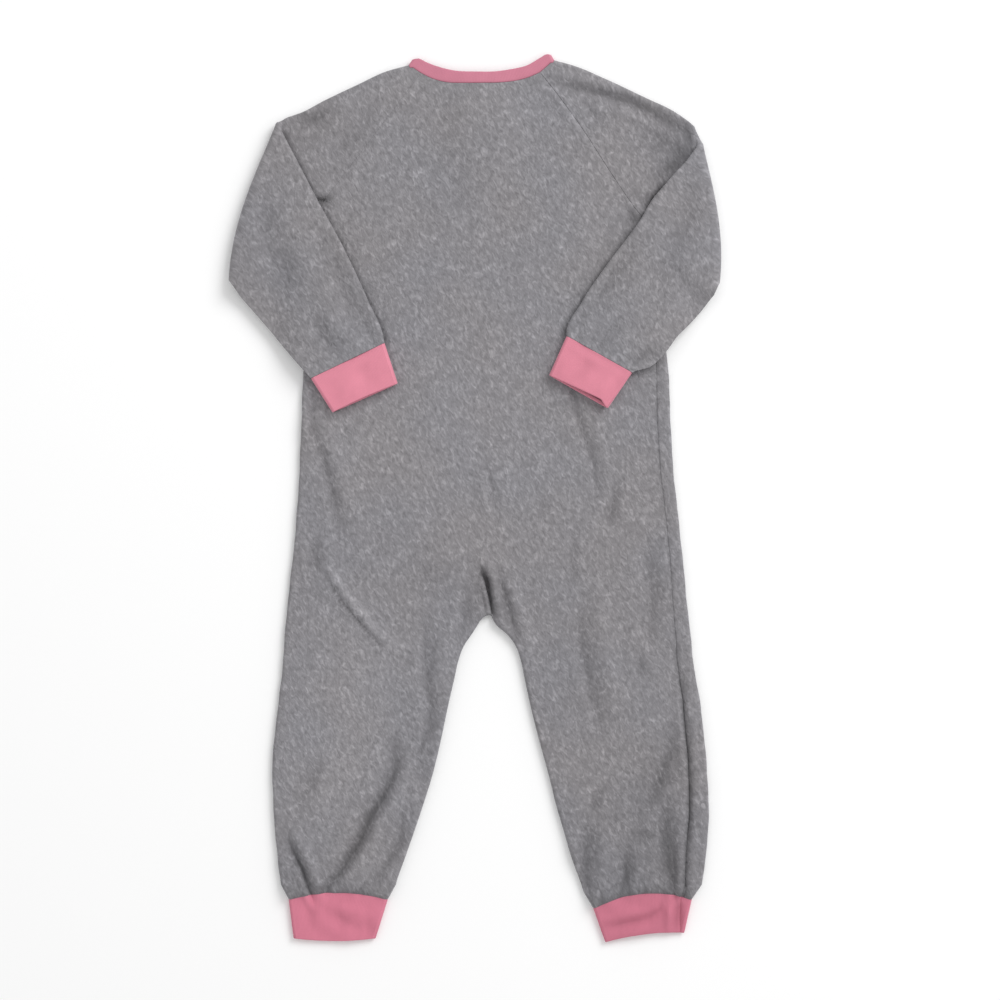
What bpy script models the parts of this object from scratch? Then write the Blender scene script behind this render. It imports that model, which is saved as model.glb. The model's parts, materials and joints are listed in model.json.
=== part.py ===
"""A toddler's footless fleece one-piece, laid face down with both sleeves folded over its back.

Every piece of cloth is a wall of even thickness on the middle surface of a flattened tube. A row of
the tube is a line across the garment seen from above, and the cloth runs round that line as a
flat loop: over the top, round the edge and back underneath. Rows follow each other down the body,
along a sleeve or across a rib band, and each sewn piece takes its own stretch of the loop.
The origin is on the surface that the garment lies on, with +Y towards the neck and +Z up.
"""
import math

import bmesh
import bpy
import numpy as np
from mathutils import Matrix

MM = 0.001
ROUNDING = 1e-6
SMALL_STEP = 0.05 * MM

# Cloth and layers
WALL = 2.0 * MM
SEAM_GAP = 0.3 * MM
LAYER_RISE = 4.2 * MM
EDGE_RADIUS = LAYER_RISE / 2
MIDDLE_HEIGHT = WALL / 2 + EDGE_RADIUS
STACK = WALL + LAYER_RISE
QUARTER = EDGE_RADIUS * math.pi / 2
EDGE_DEPTH = EDGE_RADIUS + WALL / 2
SEAM_TO_SEAM = SEAM_GAP / 2

# Columns: distances along the loop from a seam, round the edge, and back from a piece's inner end
FLAT_ALONG = 6.0 * MM
EDGE_COLUMNS = np.array([0.0, 1.7, 3.3]) * MM
WRAP_COLUMNS = np.array([-1000.0 * MM, -7.0 * MM, -QUARTER, -QUARTER / 2, 0.0, QUARTER / 2, QUARTER])
WRAP_STEP = 0.45 * MM
INNER_COLUMNS = np.array([1.9, 0.9, 0.0]) * QUARTER
COLUMN_ROOM = 1.0 * MM
ARMPIT_LENGTH = EDGE_DEPTH - QUARTER + FLAT_ALONG
RAGLAN_STEPS = {True: 5, False: 4}
NECK_STEPS = 5
NECK_END_STEPS = 2
CUFF_STEPS = 6
ANKLE_STEPS = 10

# The side seam's gap is wider on the rounded edge, where the inner faces come closer
ROUND_SEAM_EXTRA = 1.2
ROUND_SEAM_END = 9.0 * MM
ROUND_SEAM_FADE = 4.0 * MM

# Sleeve fold
FOLD_AIR = 0.7 * MM
FOLD_HEIGHT = STACK + FOLD_AIR
FOLD_REACH = math.pi * EDGE_RADIUS + math.pi * FOLD_AIR
FOLD_BULGE = 7.0 * MM
BULGE_LEAN = {"left": 1.35, "right": 0.9}
BULGE_SPREAD = 45.0 * MM
FOLD_OVERHANG = 3.0 * MM
FLAP_CALM = 12.0 * MM
SAG_DEPTH = 5.0 * MM
SAG_START = 4.0 * MM
SAG_LENGTH = 26.0 * MM

UPPER_ARM_ROWS = 5
BEND_ROWS = 6
LOWER_ARM_ROWS = 6

# Zip
ZIP_TOP = 350.5 * MM
ZIP_BOTTOM = -24.0 * MM
ZIP_CLOSE_LENGTH = 4.2 * MM
ZIP_HALF_GAP = 4.8 * MM
TAPE_WIDTH = 12.0 * MM
TAPE_THICKNESS = 0.6 * MM
TAPE_END = 14.0 * MM
CHAIN_WIDTH = 5.0 * MM
CHAIN_THICKNESS = 2.0 * MM
TAPE_AIR = 0.7 * MM
ZIP_MIDDLE = WALL + TAPE_AIR + TAPE_THICKNESS / 2
SLIDER_WIDTH = 8.4 * MM
SLIDER_LENGTH = 11.0 * MM
SLIDER_PLATE = 1.0 * MM
SLIDER_PLAY = 0.3 * MM
SLIDER_Y = ZIP_TOP - 7.0 * MM
PULL_LENGTH = 21.0 * MM
PULL_WIDTH = 5.6 * MM
PULL_THICKNESS = 1.0 * MM
PULL_RAIL = 1.5 * MM
PULL_WINDOW = 2.5 * MM
PULL_EYE = np.array([2.2, 3.2]) * MM
PULL_EYE_FROM_END = 3.4 * MM
PULL_BEVEL = 0.45 * MM
PIN_SIZE = 0.9 * MM
POST_SIZE = np.array([2.6, 2.4]) * MM
POST_FROM_END = 1.8 * MM
RAIL_WIDTH = 0.8 * MM
RAIL_SHORTER = 4.0 * MM
PLATE_BEVEL = 1.6 * MM
CORNER_BEVEL = 0.8 * MM
LAP = 0.2 * MM
CHAIN_BELOW_POST = 3.4 * MM
STAPLE_WIDTH = 1.8 * MM
STAPLE_THICKNESS = 0.7 * MM
STAPLE_INSIDE = 0.8 * MM
STAPLE_HALF_SPAN = 1.25 * MM

ZIP_STATIONS = np.array([342.0, 333.0, 324.0, 315.0, 306.0, 296.0, 284.0, 270.0, 252.0, 180.0, 90.0]) * MM

# The slider holds the cloth off the surface: how far at the zip and at the back, and how wide
LIFT_ZIP = 2.2 * MM
LIFT_BACK = 4.4 * MM
LIFT_Y = SLIDER_Y - 9.0 * MM
LIFT_FLAT = np.array([12.0, 20.0]) * MM
LIFT_FADE = 2.8

# Centre line and outline of the body, seen from above
CENTRE_LINE = np.array([
    # y, x
    (-106.0, 13.3),
    (382.0, 5.5),
]) * MM
BODY_SIDES = np.array([
    # y, left x, right x
    (-368.6, -171.4, 199.4),
    (-363.0, -175.6, 205.0),
    (-346.0, -179.6, 210.0),
    (-323.0, -182.6, 213.2),
    (-290.0, -185.2, 214.9),
    (-250.0, -186.4, 213.3),
    (-221.0, -184.6, 211.0),
    (-190.0, -181.0, 207.6),
    (-160.0, -177.8, 202.2),
    (-118.0, -174.4, 197.2),
    (-45.0, -166.6, 190.2),
    (25.0, -161.6, 182.4),
    (117.0, -158.0, 178.0),
    (254.0, -153.6, 165.0),
]) * MM
LEG_INSIDES = np.array([
    # y, left x, right x
    (-376.6, -80.4, 110.1),
    (-368.6, -80.2, 104.0),
    (-365.0, -76.4, 101.8),
    (-352.0, -72.3, 97.0),
    (-330.0, -64.4, 88.9),
    (-305.0, -55.6, 81.6),
    (-285.0, -48.9, 75.6),
    (-254.0, -39.2, 67.9),
    (-221.0, -31.3, 58.8),
    (-190.0, -24.8, 51.1),
    (-166.0, -19.3, 45.9),
    (-148.6, -15.3, 42.2),
    (-136.0, -10.6, 37.8),
    (-123.7, -2.4, 28.6),
    (-116.0, 2.6, 19.4),
    (-111.0, 5.6, 16.4),
]) * MM
PINCH_REACH = 3.6 * MM
CHEST_Y = 112.0 * MM
CHEST_ROWS = 8
TORSO_STATIONS = np.array([74.0, 38.0, 6.0, -25.2, -29.5, -62.0, -90.0, -103.5, -106.3]) * MM
LEG_STATIONS = np.array([-111.5, -118.0, -128.0, -144.0, -172.0, -204.0, -238.0, -272.0, -304.0, -334.0,
                         -355.0]) * MM
ANKLE_EASE_Y = -290.0 * MM
SIDE_SEAMS = np.array([
    # y, how far the seam lies from the folded edge
    (-368.6, 17.0),
    (-200.0, 15.0),
    (-60.0, 11.0),
    (130.0, 9.5),
    (240.0, 0.0),
]) * MM

# Per side: seam lines and outlines (x, y), from the armpit or the raglan's neck end onwards
NECK_POINT = {"left": (-61.0, 398.6), "right": (72.7, 403.2)}
BAND_POINT = {"left": (-57.6, 403.2), "right": (70.0, 407.4)}
ARMPIT = {"left": (-153.0, 254.4), "right": (164.2, 245.2)}
RAGLAN_BACK = {
    "left": [(-120.0, 298.4), (-86.0, 343.0), (-49.7, 391.0)],
    "right": [(146.0, 268.4), (123.1, 302.0), (98.0, 340.6), (75.4, 371.5), (59.8, 391.5)],
}
RAGLAN_FRONT = {
    "left": [(-120.0, 294.2), (-56.1, 370.3)],
    "right": [(122.0, 300.0), (67.2, 371.2)],
}
NECK_BACK = {
    "left": [(-40.5, 386.4), (-26.7, 382.6), (-10.0, 381.6), (5.5, 381.6)],
    "right": [(51.1, 387.6), (41.4, 384.7), (24.0, 382.2), (5.5, 381.6)],
}
NECK_FRONT = {
    "left": [(-41.4, 354.7), (-18.4, 344.6), (6.0, 341.0)],
    "right": [(52.9, 354.9), (29.9, 344.8), (6.0, 341.0)],
}
BAND_BACK = [(-52.4, 404.6), (-45.1, 401.3), (-31.3, 396.3), (-17.0, 393.2), (1.8, 392.4), (18.4, 392.6),
             (33.1, 394.7), (47.8, 398.2), (60.7, 405.6), (66.4, 408.6)]
BAND_FRONT = {
    "left": [(-51.6, 388.0), (-46.8, 374.6), (-35.0, 362.6), (-15.4, 354.6), (6.0, 351.8)],
    "right": [(63.6, 390.0), (58.2, 375.6), (46.8, 363.4), (27.0, 354.8), (6.0, 351.8)],
}
NECK_END = {
    # a point on the sleeve's neck seam at the back, then at the front
    "left": [(-54.6, 394.2), (-59.4, 384.0)],
    "right": [(66.0, 397.0), (71.0, 386.0)],
}
SHOULDER = {
    "left": [(-84.0, 392.0), (-105.4, 381.8), (-138.8, 365.8), (-158.4, 355.4), (-172.6, 350.4)],
    "right": [(91.4, 398.0), (120.0, 386.0), (155.6, 369.2), (183.2, 355.8), (199.4, 347.4)],
}
FOLD_LINE = {
    "left": [(-182.6, 345.4), (-226.2, 201.2)],
    "right": [(206.2, 339.4), (224.8, 196.6)],
}
FLAP_INNER = {
    "left": [(-165.0, 313.3), (-143.9, 272.8), (-122.7, 234.1), (-98.6, 182.6), (-83.2, 144.4)],
    "right": [(182.9, 297.3), (153.0, 256.8), (121.4, 214.8), (98.6, 181.1), (84.0, 150.6)],
}
FLAP_LOWER = {
    "left": [(-214.6, 184.6), (-192.3, 159.2), (-158.6, 119.4), (-151.4, 111.4)],
    "right": [(218.6, 184.6), (196.4, 158.0), (177.0, 136.4), (153.6, 116.2), (145.2, 116.0)],
}
CUFF_LINES = {
    # upper line from the flap's lower edge to its inner edge, then the same at the mouth
    "left": [[(-150.4, 110.2), (-83.0, 142.6)], [(-130.6, 78.8), (-70.8, 105.4)]],
    "right": [[(144.2, 115.4), (84.2, 149.0)], [(121.8, 82.6), (68.0, 113.0)]],
}
CUFF_MOUTH_PEEK = {"left": 1.0 * MM, "right": 3.4 * MM}
ANKLE_ENDS = {
    # outer and inner point of the seam line, its rise in the middle, and the same at the mouth
    "left": [(-171.4, -368.6), (-80.2, -368.6), 6.6, (-166.8, -404.6), (-91.6, -404.6), -2.4],
    "right": [(199.4, -368.8), (108.8, -376.8), 10.0, (192.4, -399.6), (120.0, -408.2), 3.2],
}

# Soft folds of the upper layer: start, end, half width and height, ridges up and troughs down
BODY_FOLDS = [
    # x0, y0, x1, y1, half width, height
    (-149.0, 98.0, -130.0, -8.0, 14.0, -1.1),
    (-121.0, -29.0, -128.0, 20.0, 10.0, 0.7),
    (-128.0, -66.0, -76.0, -140.0, 17.0, 1.3),
    (-120.0, -112.0, -86.0, -164.0, 14.0, -0.9),
    (-48.0, -118.0, -44.0, -215.0, 13.0, -1.1),
    (-46.0, -228.0, -88.0, -278.0, 14.0, -1.1),
    (-90.0, -290.0, -128.0, -356.0, 14.0, -1.2),
    (-166.0, -312.0, -150.0, -362.0, 10.0, -1.4),
    (102.0, -112.0, 116.0, -212.0, 16.0, 1.1),
    (84.0, -60.0, 92.0, -150.0, 14.0, -0.9),
    (186.0, -224.0, 174.0, -270.0, 14.0, -1.1),
    (180.0, -298.0, 182.0, -360.0, 10.0, -1.3),
    (97.0, 79.0, 110.0, 14.0, 12.0, -1.0),
    (18.0, 238.0, 13.0, 148.0, 12.0, 0.5),
    (9.0, 30.0, 20.0, -22.0, 12.0, 0.6),
]
SHOULDER_FOLDS = [
    (84.0, 383.0, 150.0, 358.0, 8.0, -1.0),
    (150.0, 358.0, 192.0, 332.0, 8.0, -1.1),
    (-90.0, 372.0, -166.0, 322.0, 10.0, -0.8),
]
FLAP_FOLDS = [
    (-186.0, 262.0, -158.0, 172.0, 18.0, -0.9),
    (-150.0, 226.0, -118.0, 158.0, 16.0, 0.9),
    (200.0, 262.0, 168.0, 176.0, 18.0, -0.9),
    (166.0, 238.0, 128.0, 166.0, 16.0, 0.9),
]

CLOTH_COLOUR = (0.262, 0.252, 0.266, 1.0)
RIB_COLOUR = (0.66, 0.25, 0.33, 1.0)
TAPE_COLOUR = (0.56, 0.20, 0.28, 1.0)
CHAIN_COLOUR = (0.62, 0.26, 0.34, 1.0)
METAL_COLOUR = (0.50, 0.18, 0.25, 1.0)


def smooth_step(value):
    """0 below 0, 1 above 1, with a soft start and end."""
    t = np.clip(value, 0.0, 1.0)
    return t * t * (3.0 - 2.0 * t)


def read_curve(stations, values, at):
    """A smooth curve through the values at rising stations."""
    slopes = np.gradient(values, stations)
    k = int(np.clip(np.searchsorted(stations, at) - 1, 0, len(stations) - 2))
    step = stations[k + 1] - stations[k]
    t = min(max((at - stations[k]) / step, 0.0), 1.0)
    start = values[k] * (1 + 2 * t) * (1 - t) ** 2 + values[k + 1] * t * t * (3 - 2 * t)
    return start + step * t * (1 - t) * (slopes[k] * (1 - t) - slopes[k + 1] * t)


def spline(points, spacing=3.0 * MM):
    """Points along a smooth line through the given ones, a few millimetres apart."""
    p = np.array(points, float)
    knots = np.concatenate([[0.0], np.cumsum(np.linalg.norm(np.diff(p, axis=0), axis=1))])
    count = max(2, int(round(knots[-1] / spacing)))
    return np.array([[read_curve(knots, p[:, 0], s), read_curve(knots, p[:, 1], s)]
                     for s in np.linspace(0.0, knots[-1], count + 1)])


def points_mm(*lists):
    """Joins lists of (x, y) in millimetres into one list in metres."""
    return [(x * MM, y * MM) for points in lists for x, y in points]


def divided(line, steps, head=0.0, tail=0.0):
    """The line as straight steps of even length, after a first and before a last step of set length.
    Pieces that meet share these corners, so that the gap between them stays even."""
    plan = Plan(line)
    at = list(np.linspace(head, plan.length - tail, steps + 1))
    ends = ([0.0] if head else []) + at + ([plan.length] if tail else [])
    return np.array([plan.place(s) for s in ends])


def shifted(line, distance):
    """The line moved sideways, to the right of its direction."""
    steps = unit(np.diff(line, axis=0))
    before = np.concatenate([steps[:1], steps])
    after = np.concatenate([steps, steps[-1:]])
    ahead = unit(before + after)
    stretch = 1.0 / np.sum(ahead * after, axis=1)
    return line + distance * stretch[:, None] * np.stack([ahead[:, 1], -ahead[:, 0]], axis=1)


class Plan:
    """A line across the garment seen from above, read by its length."""

    def __init__(self, line):
        self.line = np.array(line, float)
        self.stations = np.concatenate([[0.0], np.cumsum(np.linalg.norm(np.diff(self.line, axis=0), axis=1))])
        self.length = self.stations[-1]

    def ahead(self, at):
        k = int(np.clip(np.searchsorted(self.stations, at) - 1, 0, len(self.line) - 2))
        return unit(self.line[k + 1] - self.line[k])

    def place(self, at):
        inside = min(max(at, 0.0), self.length)
        x = np.interp(inside, self.stations, self.line[:, 0])
        y = np.interp(inside, self.stations, self.line[:, 1])
        return np.array([x, y]) + (at - inside) * self.ahead(at)

    def trimmed(self, start, end):
        """The plan without its first and last lengths."""
        middle = [p for s, p in zip(self.stations, self.line) if start < s < self.length - end]
        return Plan([self.place(start)] + middle + [self.place(self.length - end)])

    def blended(self, other, share, samples=40):
        """Part way from this plan to another, point by point at equal shares of their lengths."""
        at = np.linspace(0.0, 1.0, samples + 1)
        return Plan([(1 - share) * self.place(t * self.length) + share * other.place(t * other.length)
                     for t in at])


class Row:
    """One flat loop of cloth on a plan. Distance along it is 0 at the plan's start, halfway down the
    rounded edge, above 0 over the top layer and below 0 under it. A row with a far edge goes round
    that too and comes back underneath."""

    def __init__(self, top, bottom=None, far_edge=True):
        self.top = top
        self.bottom = bottom or top
        self.far_edge = far_edge

    def top_flat(self):
        return self.top.length - (2 if self.far_edge else 1) * EDGE_RADIUS

    def far_middle(self):
        """Distance to the far edge's outermost line, or to the plan's end where it has none."""
        return QUARTER + self.top_flat() + (QUARTER if self.far_edge else 0.0)

    def locate(self, along):
        """The plan, the place on it and the height over the middle, at a distance along the loop."""
        if abs(along) <= QUARTER:
            turn = along / EDGE_RADIUS
            plan = self.top if along >= 0 else self.bottom
            return plan, EDGE_RADIUS * (1 - math.cos(turn)), EDGE_RADIUS * math.sin(turn)
        if along < 0:
            return self.bottom, EDGE_RADIUS - QUARTER - along, -EDGE_RADIUS
        past = along - QUARTER - self.top_flat()
        if past <= 0 or not self.far_edge:
            return self.top, EDGE_RADIUS + along - QUARTER, EDGE_RADIUS
        turn = past / EDGE_RADIUS
        if turn <= math.pi:
            plan = self.top if turn <= math.pi / 2 + ROUNDING else self.bottom
            reach = EDGE_RADIUS * (1 - math.sin(turn))
            return plan, plan.length - reach, EDGE_RADIUS * math.cos(turn)
        reach = EDGE_RADIUS + past - math.pi * EDGE_RADIUS
        return self.bottom, self.bottom.length - reach, -EDGE_RADIUS

    def point(self, along):
        plan, at, height = self.locate(along)
        x, y = plan.place(at)
        return np.array([x, y, MIDDLE_HEIGHT + height])

    def level(self, along):
        """A step along the plan at the same height, for the upright plane of an end row."""
        plan, at, height = self.locate(along)
        x, y = plan.ahead(at)
        return np.array([x, y, 0.0])


class Grid:
    """Middle points and wall directions of a piece, from its rows and the distances along each."""

    def __init__(self, rows, columns, shape, upright=()):
        self.points = np.array([[shape(r.point(c)) for c in cs] for r, cs in zip(rows, columns)])
        across = np.array([[shape(r.point(c + SMALL_STEP)) - shape(r.point(c - SMALL_STEP)) for c in cs]
                           for r, cs in zip(rows, columns)])
        down = np.gradient(self.points, axis=0)
        self.normals = unit(np.cross(across, down))
        for i in upright:
            for j, c in enumerate(columns[i]):
                here = rows[i].point(c)
                level = shape(here + SMALL_STEP * rows[i].level(c)) - shape(here)
                side = unit(np.cross(level, (0.0, 0.0, 1.0)))
                self.normals[i, j] = unit(self.normals[i, j] - np.dot(self.normals[i, j], side) * side)


def unit(vectors):
    return vectors / np.linalg.norm(vectors, axis=-1, keepdims=True)


def grid_quads(ids):
    return [(ids[i, j], ids[i, j + 1], ids[i + 1, j + 1], ids[i + 1, j])
            for i in range(ids.shape[0] - 1) for j in range(ids.shape[1] - 1)]


def material(name, colour, roughness, metallic=0.0):
    made = bpy.data.materials.new(name)
    made.use_nodes = True
    shader = made.node_tree.nodes["Principled BSDF"]
    shader.inputs["Base Color"].default_value = colour
    shader.inputs["Roughness"].default_value = roughness
    shader.inputs["Metallic"].default_value = metallic
    return made


def add_object(name, mesh, finish, collection):
    made = bpy.data.objects.new(name, mesh)
    made.data.materials.append(finish)
    collection.objects.link(made)
    return made


def cloth_wall(name, points, normals, quads, finish, collection, thickness=WALL):
    """One closed wall: the surface moved out, the same moved in, and a rim along every open edge."""
    count = len(points)
    places = np.concatenate([points + normals * thickness / 2, points - normals * thickness / 2])
    faces = list(quads) + [tuple(k + count for k in reversed(q)) for q in quads]
    sides = {}
    for q in quads:
        for a, b in zip(q, q[1:] + q[:1]):
            sides[(a, b)] = sides.get((a, b), 0) + 1
    for a, b in sides:
        if (b, a) not in sides:
            faces.append((b, a, a + count, b + count))
    mesh = bpy.data.meshes.new(name)
    mesh.from_pydata([tuple(p) for p in places], [], faces)
    shell = bmesh.new()
    shell.from_mesh(mesh)
    if shell.calc_volume(signed=True) < 0:
        bmesh.ops.reverse_faces(shell, faces=shell.faces)
    shell.to_mesh(mesh)
    shell.free()
    mesh.shade_smooth()
    mesh.set_sharp_from_angle(angle=math.radians(50))
    return add_object(name, mesh, finish, collection)


# ---------------------------------------------------------------- shape of the lying cloth

def fold_height(x, y, table):
    """Height of the soft folds at a place: each fades along its length and across its width."""
    height = 0.0
    for x0, y0, x1, y1, half_width, rise in table:
        start = np.array([x0, y0]) * MM
        run = np.array([x1 - x0, y1 - y0]) * MM
        t = np.dot(np.array([x, y]) - start, run) / np.dot(run, run)
        off = np.linalg.norm(np.array([x, y]) - start - min(max(t, 0.0), 1.0) * run)
        ends = math.sin(math.pi * min(max(0.15 + 0.7 * t, 0.0), 1.0))
        height += rise * MM * ends * math.exp(-(off / (half_width * MM)) ** 2)
    return height


def layer_share(over):
    """1 on the flat of a layer, fading to 0 partway round its edge; over is 1 on the flat."""
    return smooth_step(over * 1.6 - 0.6)


def zip_lift(x, y):
    """Share of the lift over the slider and its pull tab, 1 above them and fading outwards."""
    off = np.array([x - centre_x(y), y - LIFT_Y]) / LIFT_FLAT
    return 1.0 - smooth_step((np.linalg.norm(off) - 1.0) / LIFT_FADE)


def centre_x(y):
    return np.interp(y, CENTRE_LINE[:, 0], CENTRE_LINE[:, 1])


def lay_body(point):
    """The body's loop with its folds, and its lift over the zip slider."""
    x, y, z = point
    over = (z - MIDDLE_HEIGHT) / EDGE_RADIUS
    rise = fold_height(x, y, BODY_FOLDS + SHOULDER_FOLDS) * layer_share(over)
    share = (over + 1.0) / 2.0
    return np.array([x, y, z + rise + zip_lift(x, y) * (LIFT_ZIP + share * (LIFT_BACK - LIFT_ZIP))])


def body_x(side, y):
    column = 1 if side == "left" else 2
    return read_curve(BODY_SIDES[:, 0], BODY_SIDES[:, column], y)


def leg_x(side, y):
    column = 1 if side == "left" else 2
    return read_curve(LEG_INSIDES[:, 0], LEG_INSIDES[:, column], y)


def neckline(side, back):
    """From the raglan's neck end along the neck seam to the centre."""
    corner = (RAGLAN_BACK if back else RAGLAN_FRONT)[side][-1:]
    line = points_mm(corner, (NECK_BACK if back else NECK_FRONT)[side])
    end_y = line[-1][1]
    line[-1] = (centre_x(end_y), end_y)
    return divided(spline(line), NECK_STEPS, tail=INNER_COLUMNS[0] + (0.0 if back else ZIP_HALF_GAP))


def raglan(side, back):
    """From the armpit along the raglan seam to its neck end."""
    line = spline(points_mm([ARMPIT[side]], (RAGLAN_BACK if back else RAGLAN_FRONT)[side]))
    return divided(line, RAGLAN_STEPS[back], head=ARMPIT_LENGTH)


def neck_end(side, back):
    """The sleeve's short neck seam, from the raglan's neck end to the shoulder's folded edge. The
    layers share its last step, so that they meet round the edge."""
    corner = (RAGLAN_BACK if back else RAGLAN_FRONT)[side][-1:]
    between = NECK_END[side][0 if back else 1]
    line = divided(spline(points_mm(corner, [between, NECK_POINT[side]])), NECK_END_STEPS, tail=EDGE_DEPTH)
    ahead = unit(np.array(NECK_POINT[side]) - np.mean(NECK_END[side], axis=0))
    line[-2] = line[-1] - EDGE_DEPTH * ahead
    return line


def joined(*lines):
    """Lines that follow each other, as one, with shared ends kept once."""
    return np.concatenate([lines[0]] + [line[1:] for line in lines[1:]])


def body_top_row(side, back):
    """The half body's upper edge, from the armpit along the raglan and neck seams to the centre."""
    line = joined(raglan(side, back), neckline(side, back))
    inward = SEAM_TO_SEAM if side == "left" else -SEAM_TO_SEAM
    upper = Plan(shifted(line, inward)).trimmed(WALL / 2, 0.0)
    return upper, upper.stations[RAGLAN_STEPS[back] + 1]


def half_rows(side, back):
    """The rows of one half of the back or front: raglan and neck, chest, waist, leg and ankle.
    The raglan's length to the corner at the neck comes with them."""
    upper, raglan_length = body_top_row(side, back)
    inward = 1.0 if side == "left" else -1.0
    chest = Plan([(body_x(side, CHEST_Y) + inward * WALL / 2, CHEST_Y), (centre_x(CHEST_Y), CHEST_Y)])
    rows = []
    for k in range(CHEST_ROWS + 1):
        plan = upper.blended(chest, k / CHEST_ROWS) if k else upper
        rows.append(Row(plan, far_edge=False))
    for y in TORSO_STATIONS:
        line = [(body_x(side, y) + inward * WALL / 2, y), (centre_x(y), y)]
        rows.append(Row(Plan(line), far_edge=False))
    outer, inner, rise = ANKLE_ENDS[side][:3]
    for y in LEG_STATIONS:
        near_ankle = smooth_step((y - ANKLE_EASE_Y) / (outer[1] * MM - ANKLE_EASE_Y))
        y_in = y + near_ankle * (inner[1] - outer[1]) * MM
        ends = [(body_x(side, y) + inward * WALL / 2, y), (leg_x(side, y_in) - inward * WALL / 2, y_in)]
        rows.append(Row(arched(ends, near_ankle * rise * MM)))
    rows.append(Row(ankle_line(outer, inner, rise, SEAM_TO_SEAM)))
    return rows, raglan_length


def ankle_line(outer, inner, rise, up):
    """The plan of a row across an ankle, moved up or down from its line."""
    ends = [np.array(p) * MM + [0.0, up] for p in (outer, inner)]
    return arched(ends, rise * MM).trimmed(WALL / 2, WALL / 2)


def arched(ends, rise, samples=12):
    """A plan from one end to the other that rises in the middle."""
    a, b = np.array(ends[0]), np.array(ends[1])
    at = np.linspace(0.0, 1.0, samples + 1)
    return Plan([a + t * (b - a) + np.array([0.0, 4 * rise * t * (1 - t)]) for t in at])


def side_seam(side, y):
    """Distance along the loop to the side seam: over the top on the right, underneath on the left."""
    out = read_curve(SIDE_SEAMS[:, 0], SIDE_SEAMS[:, 1], y)
    return out if side == "right" else -out


def seam_room(seam):
    """Half the gap at the side seam."""
    on_edge = smooth_step((ROUND_SEAM_END - abs(seam)) / ROUND_SEAM_FADE)
    return SEAM_TO_SEAM * (1.0 + ROUND_SEAM_EXTRA * on_edge)


def half_columns(side, rows, raglan_length, back):
    """Distances along each row of a half, from the side seam to the centre or the inner leg. The
    corner at the neck has a column of its own, which moves to even spacing by the chest."""
    layer = 1 if back else -1
    steps = (RAGLAN_STEPS[back], NECK_STEPS)
    even_share = steps[0] / sum(steps)
    made = []
    for k, row in enumerate(rows):
        seam = layer * side_seam(side, row.top.line[0][1])
        seam += seam_room(seam)
        start = wrapped_start(seam) if (side == "left") == back else flat_start(seam)
        gap = 0.0 if back else zip_gap(row.top.line[-1][1])
        far = row.far_middle() - (SEAM_TO_SEAM if row.far_edge else gap)
        last_flat = far - INNER_COLUMNS[0]
        place = raglan_length - EDGE_RADIUS + QUARTER
        corner_share = (place - start[-1]) / (last_flat - start[-1]) if k == 0 else corner_share
        eased = smooth_step(k / CHEST_ROWS)
        share = corner_share + eased * (even_share - corner_share)
        corner = start[-1] + share * (last_flat - start[-1])
        first = list(np.linspace(start[-1], corner, steps[0] + 1)[1:])
        second = list(np.linspace(corner, last_flat, steps[1] + 1)[1:])
        made.append(layer * np.array(start + first + second + [far - d for d in INNER_COLUMNS[1:]]))
    return made


def wrapped_start(seam):
    """The first columns of a piece that comes up round the edge from a seam on the other layer."""
    start = [max(seam + k * WRAP_STEP, place) for k, place in enumerate(WRAP_COLUMNS)]
    return start + [max(FLAT_ALONG, start[-1] + COLUMN_ROOM)]


def flat_start(seam):
    """The first columns of a piece whose seam lies on its own layer."""
    start = list(seam + EDGE_COLUMNS)
    return start + [max(FLAT_ALONG, start[-1] + 2 * COLUMN_ROOM)]


def make_back(finish, collection):
    """One piece: both halves of the upper layer, split only below the crotch."""
    points, normals, quads = [], [], []
    first_ids = None
    crotch_row = CHEST_ROWS + len(TORSO_STATIONS)
    for side in ("left", "right"):
        rows, raglan_length = half_rows(side, True)
        columns = half_columns(side, rows, raglan_length, True)
        grid = Grid(rows, columns, pinch_crotch(rows[crotch_row], 1.0), upright=(0, len(rows) - 1))
        turned = grid.normals if side == "left" else -grid.normals
        count = sum(len(p) for p in points)
        ids = np.arange(grid.points[..., 0].size).reshape(grid.points.shape[:2]) + count
        if first_ids is None:
            first_ids = ids
        else:
            ids[:crotch_row + 1, -1] = first_ids[:crotch_row + 1, -1]
        points.append(grid.points.reshape(-1, 3))
        normals.append(turned.reshape(-1, 3))
        new = grid_quads(ids)
        quads += new if side == "left" else [tuple(reversed(q)) for q in new]
    places, walls, faces = compact(np.concatenate(points), np.concatenate(normals), quads)
    return cloth_wall("back", places, walls, faces, finish, collection)


def compact(points, normals, quads):
    """Leaves out the points that no face uses."""
    used = sorted({k for q in quads for k in q})
    new = {old: k for k, old in enumerate(used)}
    return points[used], normals[used], [tuple(new[k] for k in q) for q in quads]


def pinch_crotch(row, sign):
    """The body's lay, with the two layers drawn together where the legs part."""
    drop = EDGE_RADIUS - (WALL + SEAM_GAP) / 2
    centre = row.top.line[-1]

    def shape(point):
        x, y, z = lay_body(point)
        off = math.hypot(x - centre[0], y - centre[1])
        return np.array([x, y, z - sign * drop * math.exp(-(off / PINCH_REACH) ** 2)])

    return shape


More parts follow.
